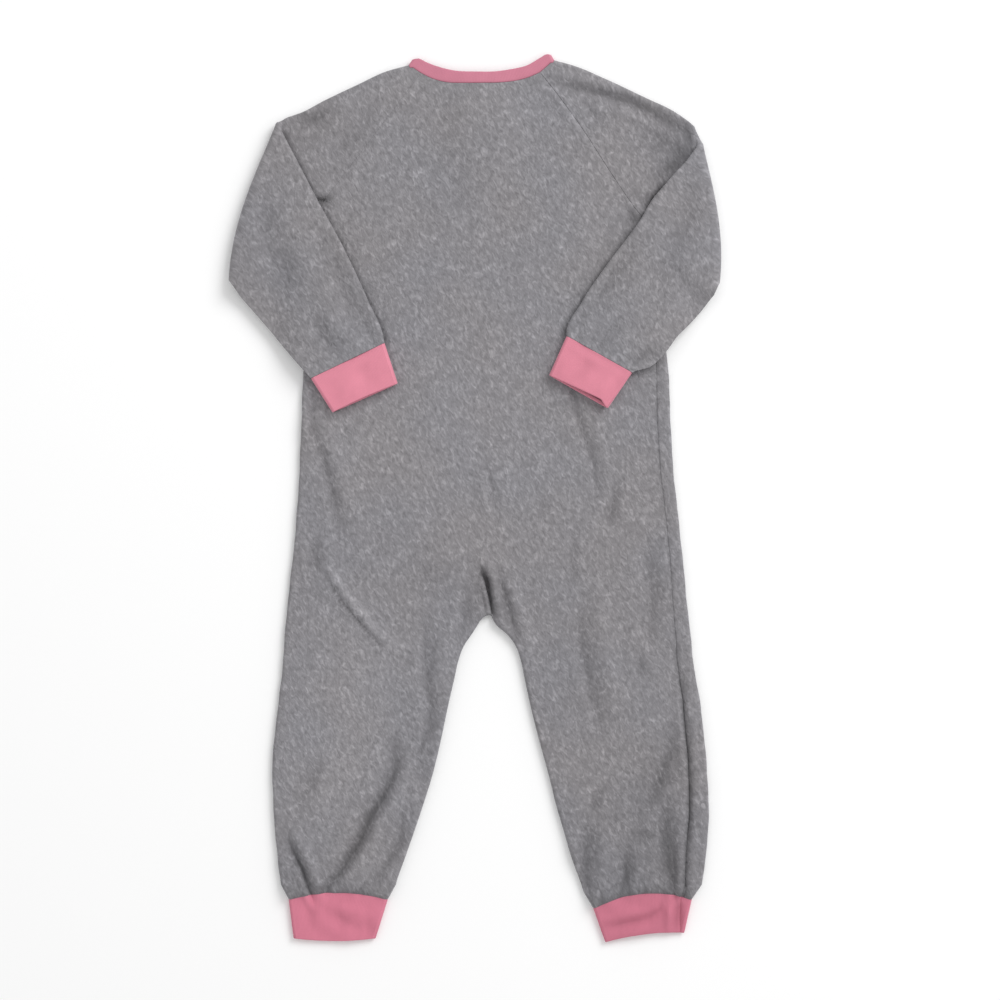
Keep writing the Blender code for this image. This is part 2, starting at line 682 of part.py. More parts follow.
def make_front(side, finish, collection):
    """Half of the lower layer: from the side seam to the zip, and down the front of one leg."""
    rows, raglan_length = half_rows(side, False)
    crotch_row = CHEST_ROWS + len(TORSO_STATIONS)
    columns = half_columns(side, rows, raglan_length, False)
    grid = Grid(rows, columns, pinch_crotch(rows[crotch_row], -1.0), upright=(0, len(rows) - 1))
    flip = 1.0 if side == "right" else -1.0
    ids = np.arange(grid.points[..., 0].size).reshape(grid.points.shape[:2])
    quads = grid_quads(ids)
    quads = quads if side == "right" else [tuple(reversed(q)) for q in quads]
    return cloth_wall(f"front_{side}", grid.points.reshape(-1, 3), flip * grid.normals.reshape(-1, 3),
                      quads, finish, collection)


def zip_gap(y):
    """Half the gap between the fronts: open beside the zip, closed to a seam below it."""
    closed = smooth_step((ZIP_BOTTOM - MM - y) / ZIP_CLOSE_LENGTH)
    return ZIP_HALF_GAP + closed * (SEAM_TO_SEAM - ZIP_HALF_GAP)


# ---------------------------------------------------------------- sleeves

class SleeveFold:
    """The fold that turns a sleeve over. Flat coordinates are (out, down): the distance past the
    fold's axis, and the distance along it from the shoulder."""

    def __init__(self, side):
        start, end = (np.array(p) * MM for p in FOLD_LINE[side])
        self.side = side
        self.length = np.linalg.norm(end - start)
        self.down = (end - start) / self.length
        turn = 1.0 if side == "left" else -1.0
        self.out = turn * np.array([self.down[1], -self.down[0]])
        self.start = start - FOLD_HEIGHT * self.out

    def bulge(self, down, out):
        """How far the folded edge curves outwards, fading away from the fold on the lower half."""
        t = min(max(down / self.length, 0.0), 1.0) ** BULGE_LEAN[self.side]
        return 4 * FOLD_BULGE * t * (1 - t) * smooth_step(out / BULGE_SPREAD + 1.0)

    def flat(self, place, turned):
        """Where a place (x, y) on the lying sleeve is when the sleeve is straight."""
        off = np.array(place) - self.start
        down = float(np.dot(off, self.down))
        reach = float(np.dot(off, self.out))
        if turned:
            return FOLD_REACH - reach + self.bulge(down, 0.0), down
        out = reach
        for _ in range(12):
            out = reach - self.bulge(down, out)
        return out, down

    def place(self, point):
        """Puts a point (out, down, height) of the straight sleeve where it lies."""
        out, down, z = point
        axis = self.start + down * self.down + self.bulge(down, out) * self.out
        radius = FOLD_HEIGHT - z
        if out <= 0:
            reach, height = out, z
        elif out < FOLD_REACH:
            turn = math.pi * out / FOLD_REACH
            reach, height = radius * math.sin(turn), FOLD_HEIGHT - radius * math.cos(turn)
        else:
            reach, height = FOLD_REACH - out, FOLD_HEIGHT + radius
        x, y = axis + reach * self.out
        over = (z - MIDDLE_HEIGHT) / EDGE_RADIUS
        if out <= 0:
            height += fold_height(x, y, SHOULDER_FOLDS) * layer_share(over)
        if out >= FOLD_REACH:
            past_fold = smooth_step((out - FOLD_REACH) / FLAP_CALM)
            height += fold_height(x, y, FLAP_FOLDS) * layer_share(-over) * past_fold
            height -= flap_sag(self.side, x, y)
        return np.array([x, y, height])


def flap_sag(side, x, y):
    """How far the folded sleeve drops where neither the body nor its own lower half carries it."""
    beyond_body = body_x(side, y) - x if side == "left" else x - body_x(side, y)
    pit = np.array(ARMPIT[side]) * MM
    corner = np.array(FOLD_LINE[side][1]) * MM
    run = unit(corner - pit)
    below = abs(run[0]) * (pit[1] - y) + run[1] * abs(x - pit[0])
    free = min(beyond_body, below)
    return SAG_DEPTH * float(smooth_step((free - SAG_START) / SAG_LENGTH))


def sleeve_rows(side):
    """The rows of a straight sleeve: raglan and neck, upper arm, fold and lower arm."""
    fold = SleeveFold(side)
    outward = -SEAM_TO_SEAM if side == "left" else SEAM_TO_SEAM
    first = []
    for back in (True, False):
        line = shifted(joined(raglan(side, back), neck_end(side, back)), outward)
        first.append(Plan([fold.flat(p, False) for p in line]).trimmed(WALL / 2, WALL / 2))
    upper_fold = np.array([0.0, -FOLD_OVERHANG])
    lower_fold = np.array([0.0, fold.length + FOLD_OVERHANG])
    shoulder = points_mm([NECK_POINT[side]], SHOULDER[side])
    under = points_mm([ARMPIT[side]])
    shoulder_line = [fold.flat(p, False) for p in spline(shoulder)]
    shoulder_line = Plan(np.concatenate([shoulder_line, [upper_fold]]))
    under_line = Plan([fold.flat(under[0], False), lower_fold])
    rows = [Row(first[0], first[1])]
    start = Plan(inset_pair([under_line.place(0.0), shoulder_line.place(0.0)]))
    for k in range(1, UPPER_ARM_ROWS + 1):
        share = k / UPPER_ARM_ROWS
        ends = [line.place(share * line.length) for line in (under_line, shoulder_line)]
        straight = Plan(inset_pair(ends))
        rows.append(Row(*(carried(plan, start, straight, share) for plan in first)))
    for k in range(1, BEND_ROWS + 1):
        out = np.array([FOLD_REACH * k / BEND_ROWS, 0.0])
        rows.append(Row(Plan(inset_pair([lower_fold + out, upper_fold + out]))))
    turned = []
    for line, corner, end in ((FLAP_LOWER, lower_fold, 0), (FLAP_INNER, upper_fold, 1)):
        lying = spline(points_mm(line[side], [CUFF_LINES[side][0][end]]), 6.0 * MM)
        turned.append(Plan([corner + [FOLD_REACH, 0.0]] + [fold.flat(p, True) for p in lying]))
    for k in range(1, LOWER_ARM_ROWS + 1):
        share = k / LOWER_ARM_ROWS
        rows.append(Row(Plan(inset_pair([line.place(share * line.length) for line in turned]))))
    return fold, rows


def carried(plan, start, straight, share, samples=40):
    """A plan on its way from the raglan to a straight row: it keeps a falling part of its bow."""
    at = np.linspace(0.0, 1.0, samples + 1)
    return Plan([straight.place(t * straight.length)
                 + (1 - share) * (plan.place(t * plan.length) - start.place(t * start.length)) for t in at])


def inset_pair(ends, samples=12):
    """A straight plan between two points, half a wall in from each, with even points along it."""
    a, b = np.array(ends[0], float), np.array(ends[1], float)
    along = unit(b - a) * WALL / 2
    return [a + along + t * (b - a - 2 * along) for t in np.linspace(0.0, 1.0, samples + 1)]


def sleeve_columns(row, shares):
    """Distances all round a sleeve, from one side of the underarm seam to the other."""
    near = list(SEAM_TO_SEAM + EDGE_COLUMNS) + [FLAT_ALONG]
    top_end = QUARTER + row.top_flat()
    whole = top_end + 4 * QUARTER + row.bottom.length - 2 * EDGE_RADIUS - QUARTER
    upper = split(near[-1], top_end, shares[0], RAGLAN_STEPS[True])
    around = [top_end + QUARTER * k / 2 for k in range(1, 5)]
    lower = split(whole - near[-1], top_end + 2 * QUARTER, shares[1], RAGLAN_STEPS[False])
    return np.array(near + upper + around + lower[-2::-1] + [whole - d for d in near[::-1]])


def split(start, end, corner_share, steps):
    """Even columns from an edge to the raglan's corner, then more to the far end."""
    corner = start + corner_share * (end - start)
    first = np.linspace(start, corner, steps + 1)[1:]
    second = np.linspace(corner, end, NECK_END_STEPS + 1)[1:]
    return list(first) + list(second)


def make_sleeve(side, finish, collection):
    fold, rows = sleeve_rows(side)
    shares = []
    flat_place = FLAT_ALONG + EDGE_RADIUS - QUARTER
    for back, plan in ((True, rows[0].top), (False, rows[0].bottom)):
        corner = plan.stations[RAGLAN_STEPS[back] + 1]
        shares.append((corner - flat_place) / (plan.length - EDGE_RADIUS - flat_place))
    columns = [sleeve_columns(r, shares) for r in rows]
    grid = Grid(rows, columns, fold.place, upright=(0, len(rows) - 1))
    ids = np.arange(grid.points[..., 0].size).reshape(grid.points.shape[:2])
    return cloth_wall(f"sleeve_{side}", grid.points.reshape(-1, 3), grid.normals.reshape(-1, 3),
                      outward_quads(grid, ids), finish, collection)


def outward_quads(grid, ids):
    """The grid's quads, wound so that they face along its normals."""
    quads = grid_quads(ids)
    a, b, c, d = (grid.points.reshape(-1, 3)[k] for k in quads[0])
    facing = np.dot(np.cross(c - a, d - b), grid.normals.reshape(-1, 3)[quads[0][0]])
    return quads if facing > 0 else [tuple(reversed(q)) for q in quads]


# ---------------------------------------------------------------- rib bands

def closed_band(name, rows, shape, steps, finish, collection):
    """A rib cuff: a closed flat tube of rib."""
    columns = []
    for r in rows:
        top_end = QUARTER + r.top_flat()
        bottom = r.bottom.length - 2 * EDGE_RADIUS
        round_steps = [QUARTER * k / 2 for k in range(-2, 2)]
        over = [QUARTER + r.top_flat() * k / steps for k in range(steps)]
        far = [top_end + QUARTER * k / 2 for k in range(4)]
        under = [top_end + 2 * QUARTER + bottom * k / steps for k in range(steps)]
        columns.append(np.array(round_steps + over + far + under))
    grid = Grid(rows, columns, shape, upright=(0, len(rows) - 1))
    ids = np.arange(grid.points[..., 0].size).reshape(grid.points.shape[:2])
    closed = np.concatenate([ids, ids[:, :1]], axis=1)
    return cloth_wall(name, grid.points.reshape(-1, 3), grid.normals.reshape(-1, 3),
                      outward_quads(grid, closed), finish, collection)


def turn_height(point):
    """A point of a flat loop turned over, at the height of a folded sleeve."""
    x, y, z = point
    return np.array([x, y, 2 * FOLD_HEIGHT - z])


def make_cuff(side, finish, collection):
    upper, mouth = ([np.array(p) * MM for p in line] for line in CUFF_LINES[side])
    gap = unit(mouth[0] - upper[0]) * SEAM_GAP
    start = [upper[0] + gap, upper[1] + gap]
    peek = unit(mouth[0] - upper[0]) * CUFF_MOUTH_PEEK[side]
    rows = []
    for share in (0.0, 0.5, 1.0):
        shown = inset_pair([(1 - share) * start[m] + share * mouth[m] for m in (0, 1)])
        bow = np.sin(np.linspace(0.0, math.pi, len(shown)))
        hidden = [p + share * peek * b for p, b in zip(shown, bow)]
        rows.append(Row(Plan(hidden), Plan(shown)))
    return closed_band(f"cuff_{side}", rows, turn_height, CUFF_STEPS, finish, collection)


def make_ankle_cuff(side, finish, collection):
    outer, inner, rise, mouth_outer, mouth_inner, mouth_rise = ANKLE_ENDS[side]
    top = ankle_line(outer, inner, rise, -SEAM_TO_SEAM)
    mouth = ankle_line(mouth_outer, mouth_inner, mouth_rise, 0.0)
    rows = [Row(top.blended(mouth, share, 12)) for share in (0.0, 0.5, 1.0)]
    return closed_band(f"ankle_cuff_{side}", rows, lay_body, ANKLE_STEPS, finish, collection)


def band_lines(share):
    """Plans of the neckband's back and front at a share of its width, from seam to free edge."""
    seam_back = joined(neck_end("left", True)[::-1], neckline("left", True),
                       neckline("right", True)[::-1], neck_end("right", True))
    free_back = spline(points_mm([BAND_POINT["left"]], BAND_BACK, [BAND_POINT["right"]]))
    fronts = []
    for side in ("left", "right"):
        seam = joined(neck_end(side, False)[::-1], neckline(side, False))
        line = points_mm([BAND_POINT[side]], BAND_FRONT[side])
        line[-1] = (centre_x(line[-1][1]), line[-1][1])
        fronts.append((seam, spline(line)))
    seam_front = joined(fronts[0][0], fronts[1][0][::-1])
    free_front = joined(fronts[0][1], fronts[1][1][::-1])
    plans = []
    for seam, free in ((seam_back, free_back), (seam_front, free_front)):
        sewn = Plan(shifted(seam, -SEAM_TO_SEAM)).trimmed(WALL / 2, WALL / 2)
        free = Plan(free).trimmed(WALL / 2, WALL / 2)
        plans.append(Plan([(1 - share) * p + share * free.place(free.length * s / sewn.length)
                           for p, s in zip(sewn.line, sewn.stations)]))
    return plans


def make_neckband(finish, collection):
    """A strip of rib round the neck, from one side of the zip to the other. Its columns are the
    corners of the neck seam."""
    rows, columns = [], []
    for share in (0.0, 0.5, 1.0):
        row = Row(*band_lines(share))
        front = row.bottom
        middle = centre_x(front.line[len(front.line) // 2][1])
        left, right = (float(np.interp(middle + turn * ZIP_HALF_GAP, front.line[:, 0], front.stations))
                       for turn in (-1, 1))
        top_end = QUARTER + row.top_flat()
        flat = EDGE_RADIUS + COLUMN_ROOM
        over = [QUARTER + s - EDGE_RADIUS for s in row.top.stations if flat < s < row.top.length - flat]
        under_left = [EDGE_RADIUS - QUARTER - s for s in front.stations if flat < s < left - COLUMN_ROOM]
        under_right = [row.far_middle() + QUARTER + front.length - s - EDGE_RADIUS for s in front.stations
                       if right + COLUMN_ROOM < s < front.length - flat]
        start = EDGE_RADIUS - QUARTER - left
        end = row.far_middle() + QUARTER + front.length - right - EDGE_RADIUS
        near = [QUARTER * k / 2 for k in range(-2, 3)]
        far = [top_end + QUARTER * k / 2 for k in range(5)]
        rows.append(row)
        columns.append(np.array([start] + under_left[::-1] + near + over + far + under_right[::-1] + [end]))
    grid = Grid(rows, columns, lay_body, upright=(0, 2))
    ids = np.arange(grid.points[..., 0].size).reshape(grid.points.shape[:2])
    return cloth_wall("neckband", grid.points.reshape(-1, 3), grid.normals.reshape(-1, 3),
                      outward_quads(grid, ids), finish, collection)


# ---------------------------------------------------------------- zip

def zip_strip(name, inner, outer, top, bottom, thickness, finish, collection):
    """A strip of the zip that follows the centre line and its lift over the slider."""
    stations = [top] + [y for y in ZIP_STATIONS if bottom < y < top] + [bottom]
    points = []
    for y in stations:
        for off in np.linspace(inner, outer, 3):
            x = centre_x(y) + off
            points.append((x, y, ZIP_MIDDLE + zip_lift(x, y) * LIFT_ZIP))
    points = np.array(points)
    ids = np.arange(len(points)).reshape(-1, 3)
    normals = np.tile((0.0, 0.0, 1.0), (len(points), 1))
    return cloth_wall(name, points, normals, grid_quads(ids), finish, collection, thickness)


def box(centre, size, name, finish, collection, bevel=0.0):
    mesh = bpy.data.meshes.new(name)
    shell = bmesh.new()
    bmesh.ops.create_cube(shell, size=1.0, matrix=Matrix.Translation(centre) @ Matrix.Diagonal((*size, 1.0)))
    if bevel:
        upright = [e for e in shell.edges if abs(e.verts[0].co.z - e.verts[1].co.z) > size[2] / 2]
        bmesh.ops.bevel(shell, geom=upright, offset=bevel, segments=3, affect="EDGES", profile=0.5)
    shell.to_mesh(mesh)
    shell.free()
    return add_object(name, mesh, finish, collection)


def boolean(target, tool, operation):
    tool.hide_render = True
    tool.display_type = "WIRE"
    change = target.modifiers.new(operation.lower(), "BOOLEAN")
    change.operation = operation
    change.object = tool
    change.solver = "EXACT"


def make_slider(middle, finish, collection, guides):
    """Two plates joined by a post between the two runs of coil, with rails over the tapes and a
    staple on the outer plate that holds the pull tab's crossbar."""
    x, y, z = middle
    outside = CHAIN_THICKNESS / 2 + SLIDER_PLAY
    rail_height = outside - TAPE_THICKNESS / 2 - SLIDER_PLAY
    plate_size = (SLIDER_WIDTH, SLIDER_LENGTH, SLIDER_PLATE)
    plate_z = outside + SLIDER_PLATE / 2
    body = box((x, y, z - plate_z), plate_size, "zip_slider", finish, collection, PLATE_BEVEL)
    parts = [box((x, y, z + plate_z), plate_size, "slider_upper_plate", finish, guides, PLATE_BEVEL)]
    post_y = y + SLIDER_LENGTH / 2 - POST_FROM_END
    parts.append(box((x, post_y, z), (*POST_SIZE, 2 * (outside + LAP)), "slider_post", finish, guides,
                     CORNER_BEVEL))
    rail_size = (RAIL_WIDTH, SLIDER_LENGTH - RAIL_SHORTER, rail_height + LAP)
    for turn in (-1, 1):
        rail_x = x + turn * (SLIDER_WIDTH - RAIL_WIDTH) / 2
        for level in (-1, 1):
            rail_z = z + level * (outside - rail_height / 2 + LAP / 2)
            parts.append(box((rail_x, y, rail_z), rail_size, "slider_rail", finish, guides))
    outer = z - outside - SLIDER_PLATE
    foot_height = 2 * STAPLE_INSIDE + STAPLE_THICKNESS / 2 + LAP
    foot_y = STAPLE_HALF_SPAN + STAPLE_THICKNESS / 2
    for turn in (-1, 1):
        parts.append(box((x, y + turn * foot_y, outer - foot_height / 2 + LAP),
                         (STAPLE_WIDTH - LAP, STAPLE_THICKNESS, foot_height), "staple_foot", finish, guides))
    bar_z = outer - 2 * STAPLE_INSIDE - STAPLE_THICKNESS / 2
    parts.append(box((x, y, bar_z), (STAPLE_WIDTH, 2 * foot_y + STAPLE_THICKNESS + LAP, STAPLE_THICKNESS),
                     "staple_bar", finish, guides))
    for part in parts:
        boolean(body, part, "UNION")
    return outer - STAPLE_INSIDE


def make_pull(axis, finish, collection, guides):
    """A flat tab with a window at its slider end. Its crossbar lies in the slider's staple, and the
    tab's origin is on the crossbar's middle, which is the joint's axis."""
    top = PIN_SIZE / 2
    tab = box((0.0, top - PULL_LENGTH / 2, 0.0), (PULL_WIDTH, PULL_LENGTH, PULL_THICKNESS), "zip_pull",
              finish, collection, PULL_BEVEL)
    through = 3 * PULL_THICKNESS
    window_size = (PULL_WIDTH - 2 * PULL_RAIL, PULL_WINDOW, through)
    window = box((0.0, -(PIN_SIZE + PULL_WINDOW) / 2, 0.0), window_size, "pull_window", finish, guides)
    eye = box((0.0, top - PULL_LENGTH + PULL_EYE_FROM_END, 0.0), (*PULL_EYE, through), "pull_eye",
              finish, guides, 2 * PULL_BEVEL)
    for cutter in (window, eye):
        cutter.parent = tab
        boolean(tab, cutter, "DIFFERENCE")
    tab.location = axis


def make_zip(finishes, collection, guides):
    for side, turn in (("left", -1), ("right", 1)):
        inner = turn * (CHAIN_WIDTH / 2 + SEAM_GAP)
        zip_strip(f"zip_tape_{side}", inner, inner + turn * TAPE_WIDTH, ZIP_TOP, ZIP_BOTTOM - TAPE_END,
                  TAPE_THICKNESS, finishes["tape"], collection)
    chain_top = SLIDER_Y + SLIDER_LENGTH / 2 - CHAIN_BELOW_POST
    zip_strip("zip_chain", -CHAIN_WIDTH / 2, CHAIN_WIDTH / 2, chain_top, ZIP_BOTTOM, CHAIN_THICKNESS,
              finishes["chain"], collection)
    middle = (centre_x(SLIDER_Y), SLIDER_Y, ZIP_MIDDLE + LIFT_ZIP)
    axis_height = make_slider(middle, finishes["metal"], collection, guides)
    make_pull((middle[0], middle[1], axis_height), finishes["metal"], collection, guides)


def main():
    for old in list(bpy.data.objects):
        bpy.data.objects.remove(old)
    collection = bpy.data.collections.new("onesie_pajama")
    guides = bpy.data.collections.new("cutters")
    for made in (collection, guides):
        bpy.context.scene.collection.children.link(made)
    fleece = material("grey_fleece", CLOTH_COLOUR, 0.95)
    finishes = {
        "tape": material("zip_tape", TAPE_COLOUR, 0.8),
        "chain": material("zip_coil", CHAIN_COLOUR, 0.5),
        "metal": material("painted_metal", METAL_COLOUR, 0.35, 0.2),
    }
    rib = material("pink_rib", RIB_COLOUR, 0.9)
    make_back(fleece, collection)
    for side in ("left", "right"):
        make_front(side, fleece, collection)
        make_sleeve(side, fleece, collection)
        make_cuff(side, rib, collection)
        make_ankle_cuff(side, rib, collection)
    make_neckband(rib, collection)
    make_zip(finishes, collection, guides)


main()
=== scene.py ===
# %% [markdown]
# # A toddler's fleece one-piece, laid face down
# The garment lies on a pale floor with its back up and both sleeves folded over onto the back.
# This lesson dresses the plain CAD solids: each cut piece of fleece and rib becomes a thin, finely
# divided wall of cloth on the same form, with its creases, rolled seam edges, ribs, stitches and
# zip. The CAD frame is loaded first and stays fixed, so every new piece is made where its solid
# is.

# %% Load the frame
import json
import math

import bpy
import numpy as np
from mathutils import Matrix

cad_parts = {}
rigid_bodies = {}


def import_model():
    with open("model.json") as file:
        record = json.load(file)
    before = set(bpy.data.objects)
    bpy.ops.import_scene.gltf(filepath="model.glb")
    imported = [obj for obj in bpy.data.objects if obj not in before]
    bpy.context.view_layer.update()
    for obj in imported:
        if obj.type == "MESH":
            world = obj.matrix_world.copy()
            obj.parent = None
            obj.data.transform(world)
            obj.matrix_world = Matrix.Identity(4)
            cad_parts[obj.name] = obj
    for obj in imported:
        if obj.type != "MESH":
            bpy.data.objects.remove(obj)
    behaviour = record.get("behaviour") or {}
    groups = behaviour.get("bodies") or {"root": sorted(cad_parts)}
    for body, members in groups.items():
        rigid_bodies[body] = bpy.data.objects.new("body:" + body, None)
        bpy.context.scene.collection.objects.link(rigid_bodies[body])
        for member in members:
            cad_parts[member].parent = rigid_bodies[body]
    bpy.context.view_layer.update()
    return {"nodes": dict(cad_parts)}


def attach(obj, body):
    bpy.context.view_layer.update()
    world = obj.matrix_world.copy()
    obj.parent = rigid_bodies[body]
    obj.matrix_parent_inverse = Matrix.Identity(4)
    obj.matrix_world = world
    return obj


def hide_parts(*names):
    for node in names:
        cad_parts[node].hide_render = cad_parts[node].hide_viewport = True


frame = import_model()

# %% [markdown]
# ## Cloth and layers
# A fleece this size is about 2 mm thick, and an empty leg or sleeve is two layers of it with a
# little air between. All sizes are in metres. The layers' heights decide everything that lies on
# them, so they come first.

# %% Cloth and layers
MM = 0.001
WALL = 2.0 * MM
LAYER_RISE = 4.2 * MM  # between the middles of the two layers
EDGE_RADIUS = LAYER_RISE / 2
MIDDLE = WALL / 2 + EDGE_RADIUS  # the height halfway between the layers
QUARTER = EDGE_RADIUS * math.pi / 2  # cloth in a quarter turn of a folded edge
EDGE_DEPTH = EDGE_RADIUS + WALL / 2
STACK = WALL + LAYER_RISE
SEAM_ROOM = 0.04 * MM  # from a seam's line to the cloth on either side
SMALL_STEP = 0.05 * MM
print("two layers of cloth are %.1f mm high" % (STACK / MM))

# %% [markdown]
# ## Smooth lines
# Seams and outlines are measured at a few points and read as smooth curves. A line that is read by
# its length can carry evenly spaced columns of cloth, and it can be continued a little past its
# ends, which the rounded edges need for their cloth coordinates.


# %% Smooth lines
def soft_step(value):
    """0 below 0, 1 above 1, with a soft start and end."""
    t = np.clip(value, 0.0, 1.0)
    return t * t * (3.0 - 2.0 * t)


def unit(vectors):
    return vectors / np.maximum(np.linalg.norm(vectors, axis=-1, keepdims=True), 1e-12)


def read_curve(stations, values, at):
    """A smooth curve through values at rising stations."""
    slopes = np.gradient(values, stations)
    k = np.clip(np.searchsorted(stations, at) - 1, 0, len(stations) - 2)
    step = stations[k + 1] - stations[k]
    t = np.clip((at - stations[k]) / step, 0.0, 1.0)
    start = values[k] * (1 + 2 * t) * (1 - t) ** 2 + values[k + 1] * t * t * (3 - 2 * t)
    return start + step * t * (1 - t) * (slopes[k] * (1 - t) - slopes[k + 1] * t)


class Line:
    """A line seen from above, read by its length and continued straight past its ends."""

    def __init__(self, points):
        self.points = np.array(points, float)
        steps = np.linalg.norm(np.diff(self.points, axis=0), axis=1)
        self.stations = np.concatenate([[0.0], np.cumsum(steps)])
        self.length = self.stations[-1]

    def place(self, at):
        at = np.asarray(at, float)
        inside = np.clip(at, 0.0, self.length)
        x, y = self.points.T
        spot = np.stack([np.interp(inside, self.stations, part) for part in (x, y)], axis=-1)
        first = unit(self.points[1] - self.points[0])
        last = unit(self.points[-1] - self.points[-2])
        before = np.minimum(at, 0.0)[..., None]
        after = np.maximum(at - self.length, 0.0)[..., None]
        return spot + before * first + after * last

    def trimmed(self, start, end):
        inside = (self.stations > start) & (self.stations < self.length - end)
        ends = self.place(np.array([start, self.length - end]))
        return Line(np.concatenate([ends[:1], self.points[inside], ends[1:]]))

    def blended(self, other, share, samples=200, corner=0.0):
        """A line between two; corner is a share of the length that keeps a point of its own."""
        at = np.unique(np.append(np.linspace(0.0, 1.0, samples + 1), corner))
        here, there = self.place(at * self.length), other.place(at * other.length)
        return Line((1 - share) * here + share * there)


def spline(points, spacing=3.0 * MM):
    """Points along a smooth line through the given ones."""
    p = np.array(points, float)
    knots = np.concatenate([[0.0], np.cumsum(np.linalg.norm(np.diff(p, axis=0), axis=1))])
    at = np.linspace(0.0, knots[-1], max(2, int(round(knots[-1] / spacing))) + 1)
    return np.stack([read_curve(knots, p[:, 0], at), read_curve(knots, p[:, 1], at)], axis=-1)


def points_mm(*lists):
    return [(x * MM, y * MM) for points in lists for x, y in points]


def joined(*lines):
    """Lines that follow each other, as one, with shared ends kept once."""
    return np.concatenate([lines[0]] + [line[1:] for line in lines[1:]])


def even(start, end, steps):
    """Evenly spaced places after the start, up to the end."""
    return np.linspace(start, end, steps + 1)[1:]


def shifted(line, distance):
    """The line moved sideways, to the right of its direction."""
    ahead = unit(np.gradient(line, axis=0))
    return line + distance * np.stack([ahead[:, 1], -ahead[:, 0]], axis=1)


# %% [markdown]
# ## The flat loop
# A leg, a sleeve or a cuff that lies empty is a flat tube. One row of it is a loop: over the top
# layer, round a folded edge and back underneath. Every piece of cloth here is a stretch of such
# loops, row after row, so the pieces meet exactly where the seams are. Distance 0 is the outermost
# line of the first folded edge, positive over the top and negative underneath. Next to each place,
# the loop tells where that bit of cloth would be if it were unrolled flat, and the grain of the
# fleece uses that.


# %% The flat loop
class Loop:
    def __init__(self, top, under=None, far_edge=True):
        self.top = top
        self.under = under or top
        self.far_edge = far_edge
        self.flat = top.length - (2 if far_edge else 1) * EDGE_RADIUS
        self.far = QUARTER + self.flat + (QUARTER if far_edge else 0.0)

    def read(self, along):
        """Places (x, y, z) and unrolled places (u, v) at distances along the loop."""
        a = np.asarray(along, float)
        turn = a / EDGE_RADIUS
        past = a - QUARTER - self.flat
        far_turn = past / EDGE_RADIUS
        cases = [np.abs(a) <= QUARTER, a < -QUARTER, (past <= 0) | (not self.far_edge),
                 far_turn <= math.pi]
        under_length = self.under.length
        far_top = far_turn <= math.pi / 2 + 1e-6
        far_length = np.where(far_top, self.top.length, under_length)
        at = np.select(cases, [
            EDGE_RADIUS * (1 - np.cos(turn)),
            EDGE_RADIUS - QUARTER - a,
            EDGE_RADIUS + a - QUARTER,
            far_length - EDGE_RADIUS * (1 - np.sin(far_turn)),
        ], under_length - EDGE_RADIUS - past + math.pi * EDGE_RADIUS)
        height = np.select(cases, [EDGE_RADIUS * np.sin(turn), -EDGE_RADIUS, EDGE_RADIUS,
                                   EDGE_RADIUS * np.cos(far_turn)], -EDGE_RADIUS)
        below = np.select(cases, [a < 0, True, False, ~far_top], True)
        rolled = self.unrolled(a, below)
        spot = np.where(below[..., None], self.under.place(at), self.top.place(at))
        cloth = np.where(below[..., None], self.under.place(rolled), self.top.place(rolled))
        return np.concatenate([spot, (MIDDLE + height)[..., None]], axis=-1), cloth

    def unrolled(self, along, below):
        """How far along its line a bit of cloth would be if its folded edges were laid flat."""
        past_far = self.under.length + QUARTER - EDGE_RADIUS - (along - self.far)
        under = np.where(along < 0, EDGE_RADIUS - QUARTER - along, past_far)
        return np.where(below, under, along + EDGE_RADIUS - QUARTER)

    def level(self, along):
        """A small step along the row at the same height, for the upright side of a seam."""
        below = (along < 0) | ((along - QUARTER - self.flat > QUARTER) & self.far_edge)
        at = self.unrolled(along, below)
        steps = [line.place(at + SMALL_STEP) - line.place(at - SMALL_STEP)
                 for line in (self.under, self.top)]
        ahead = np.where(below[..., None], *steps)
        return np.concatenate([unit(ahead), np.zeros(ahead.shape[:-1] + (1,))], axis=-1)


# %% [markdown]
# ## Walls of cloth
# A piece could be a single sheet with a Solidify modifier, but then its edge would be a square
# step. Here the wall is made point by point from the middle surface: the outer and the inner skin
# draw together over the last millimetre before a seam or a cut edge. Two pieces that meet then
# leave the soft groove of a sewn seam between them. The unrolled places become the UV map "cloth",
# in metres.

# %% Walls of cloth
RIM = np.array([0.0, 0.1, 0.3, 0.6, 1.0]) * MM  # rows of points beside an edge
RIM_WIDTH = 0.8 * MM
SEAM_LEAST = 0.62  # share of the cloth's thickness that is left at a seam
BAND_LEAST = 0.7  # the same where fleece and rib meet
FOLD_LEAST = 0.12  # and at a folded mouth, which is round
FOLD_ROLL = 1.0 * MM


def rim_share(distance, least, width):
    """How much of the cloth's thickness is there, at a distance from an edge."""
    t = np.clip(distance / width, 0.0, 1.0)
    return least + (1 - least) * np.sqrt(np.clip(1 - (1 - t) ** 2, 0.0, 1.0))


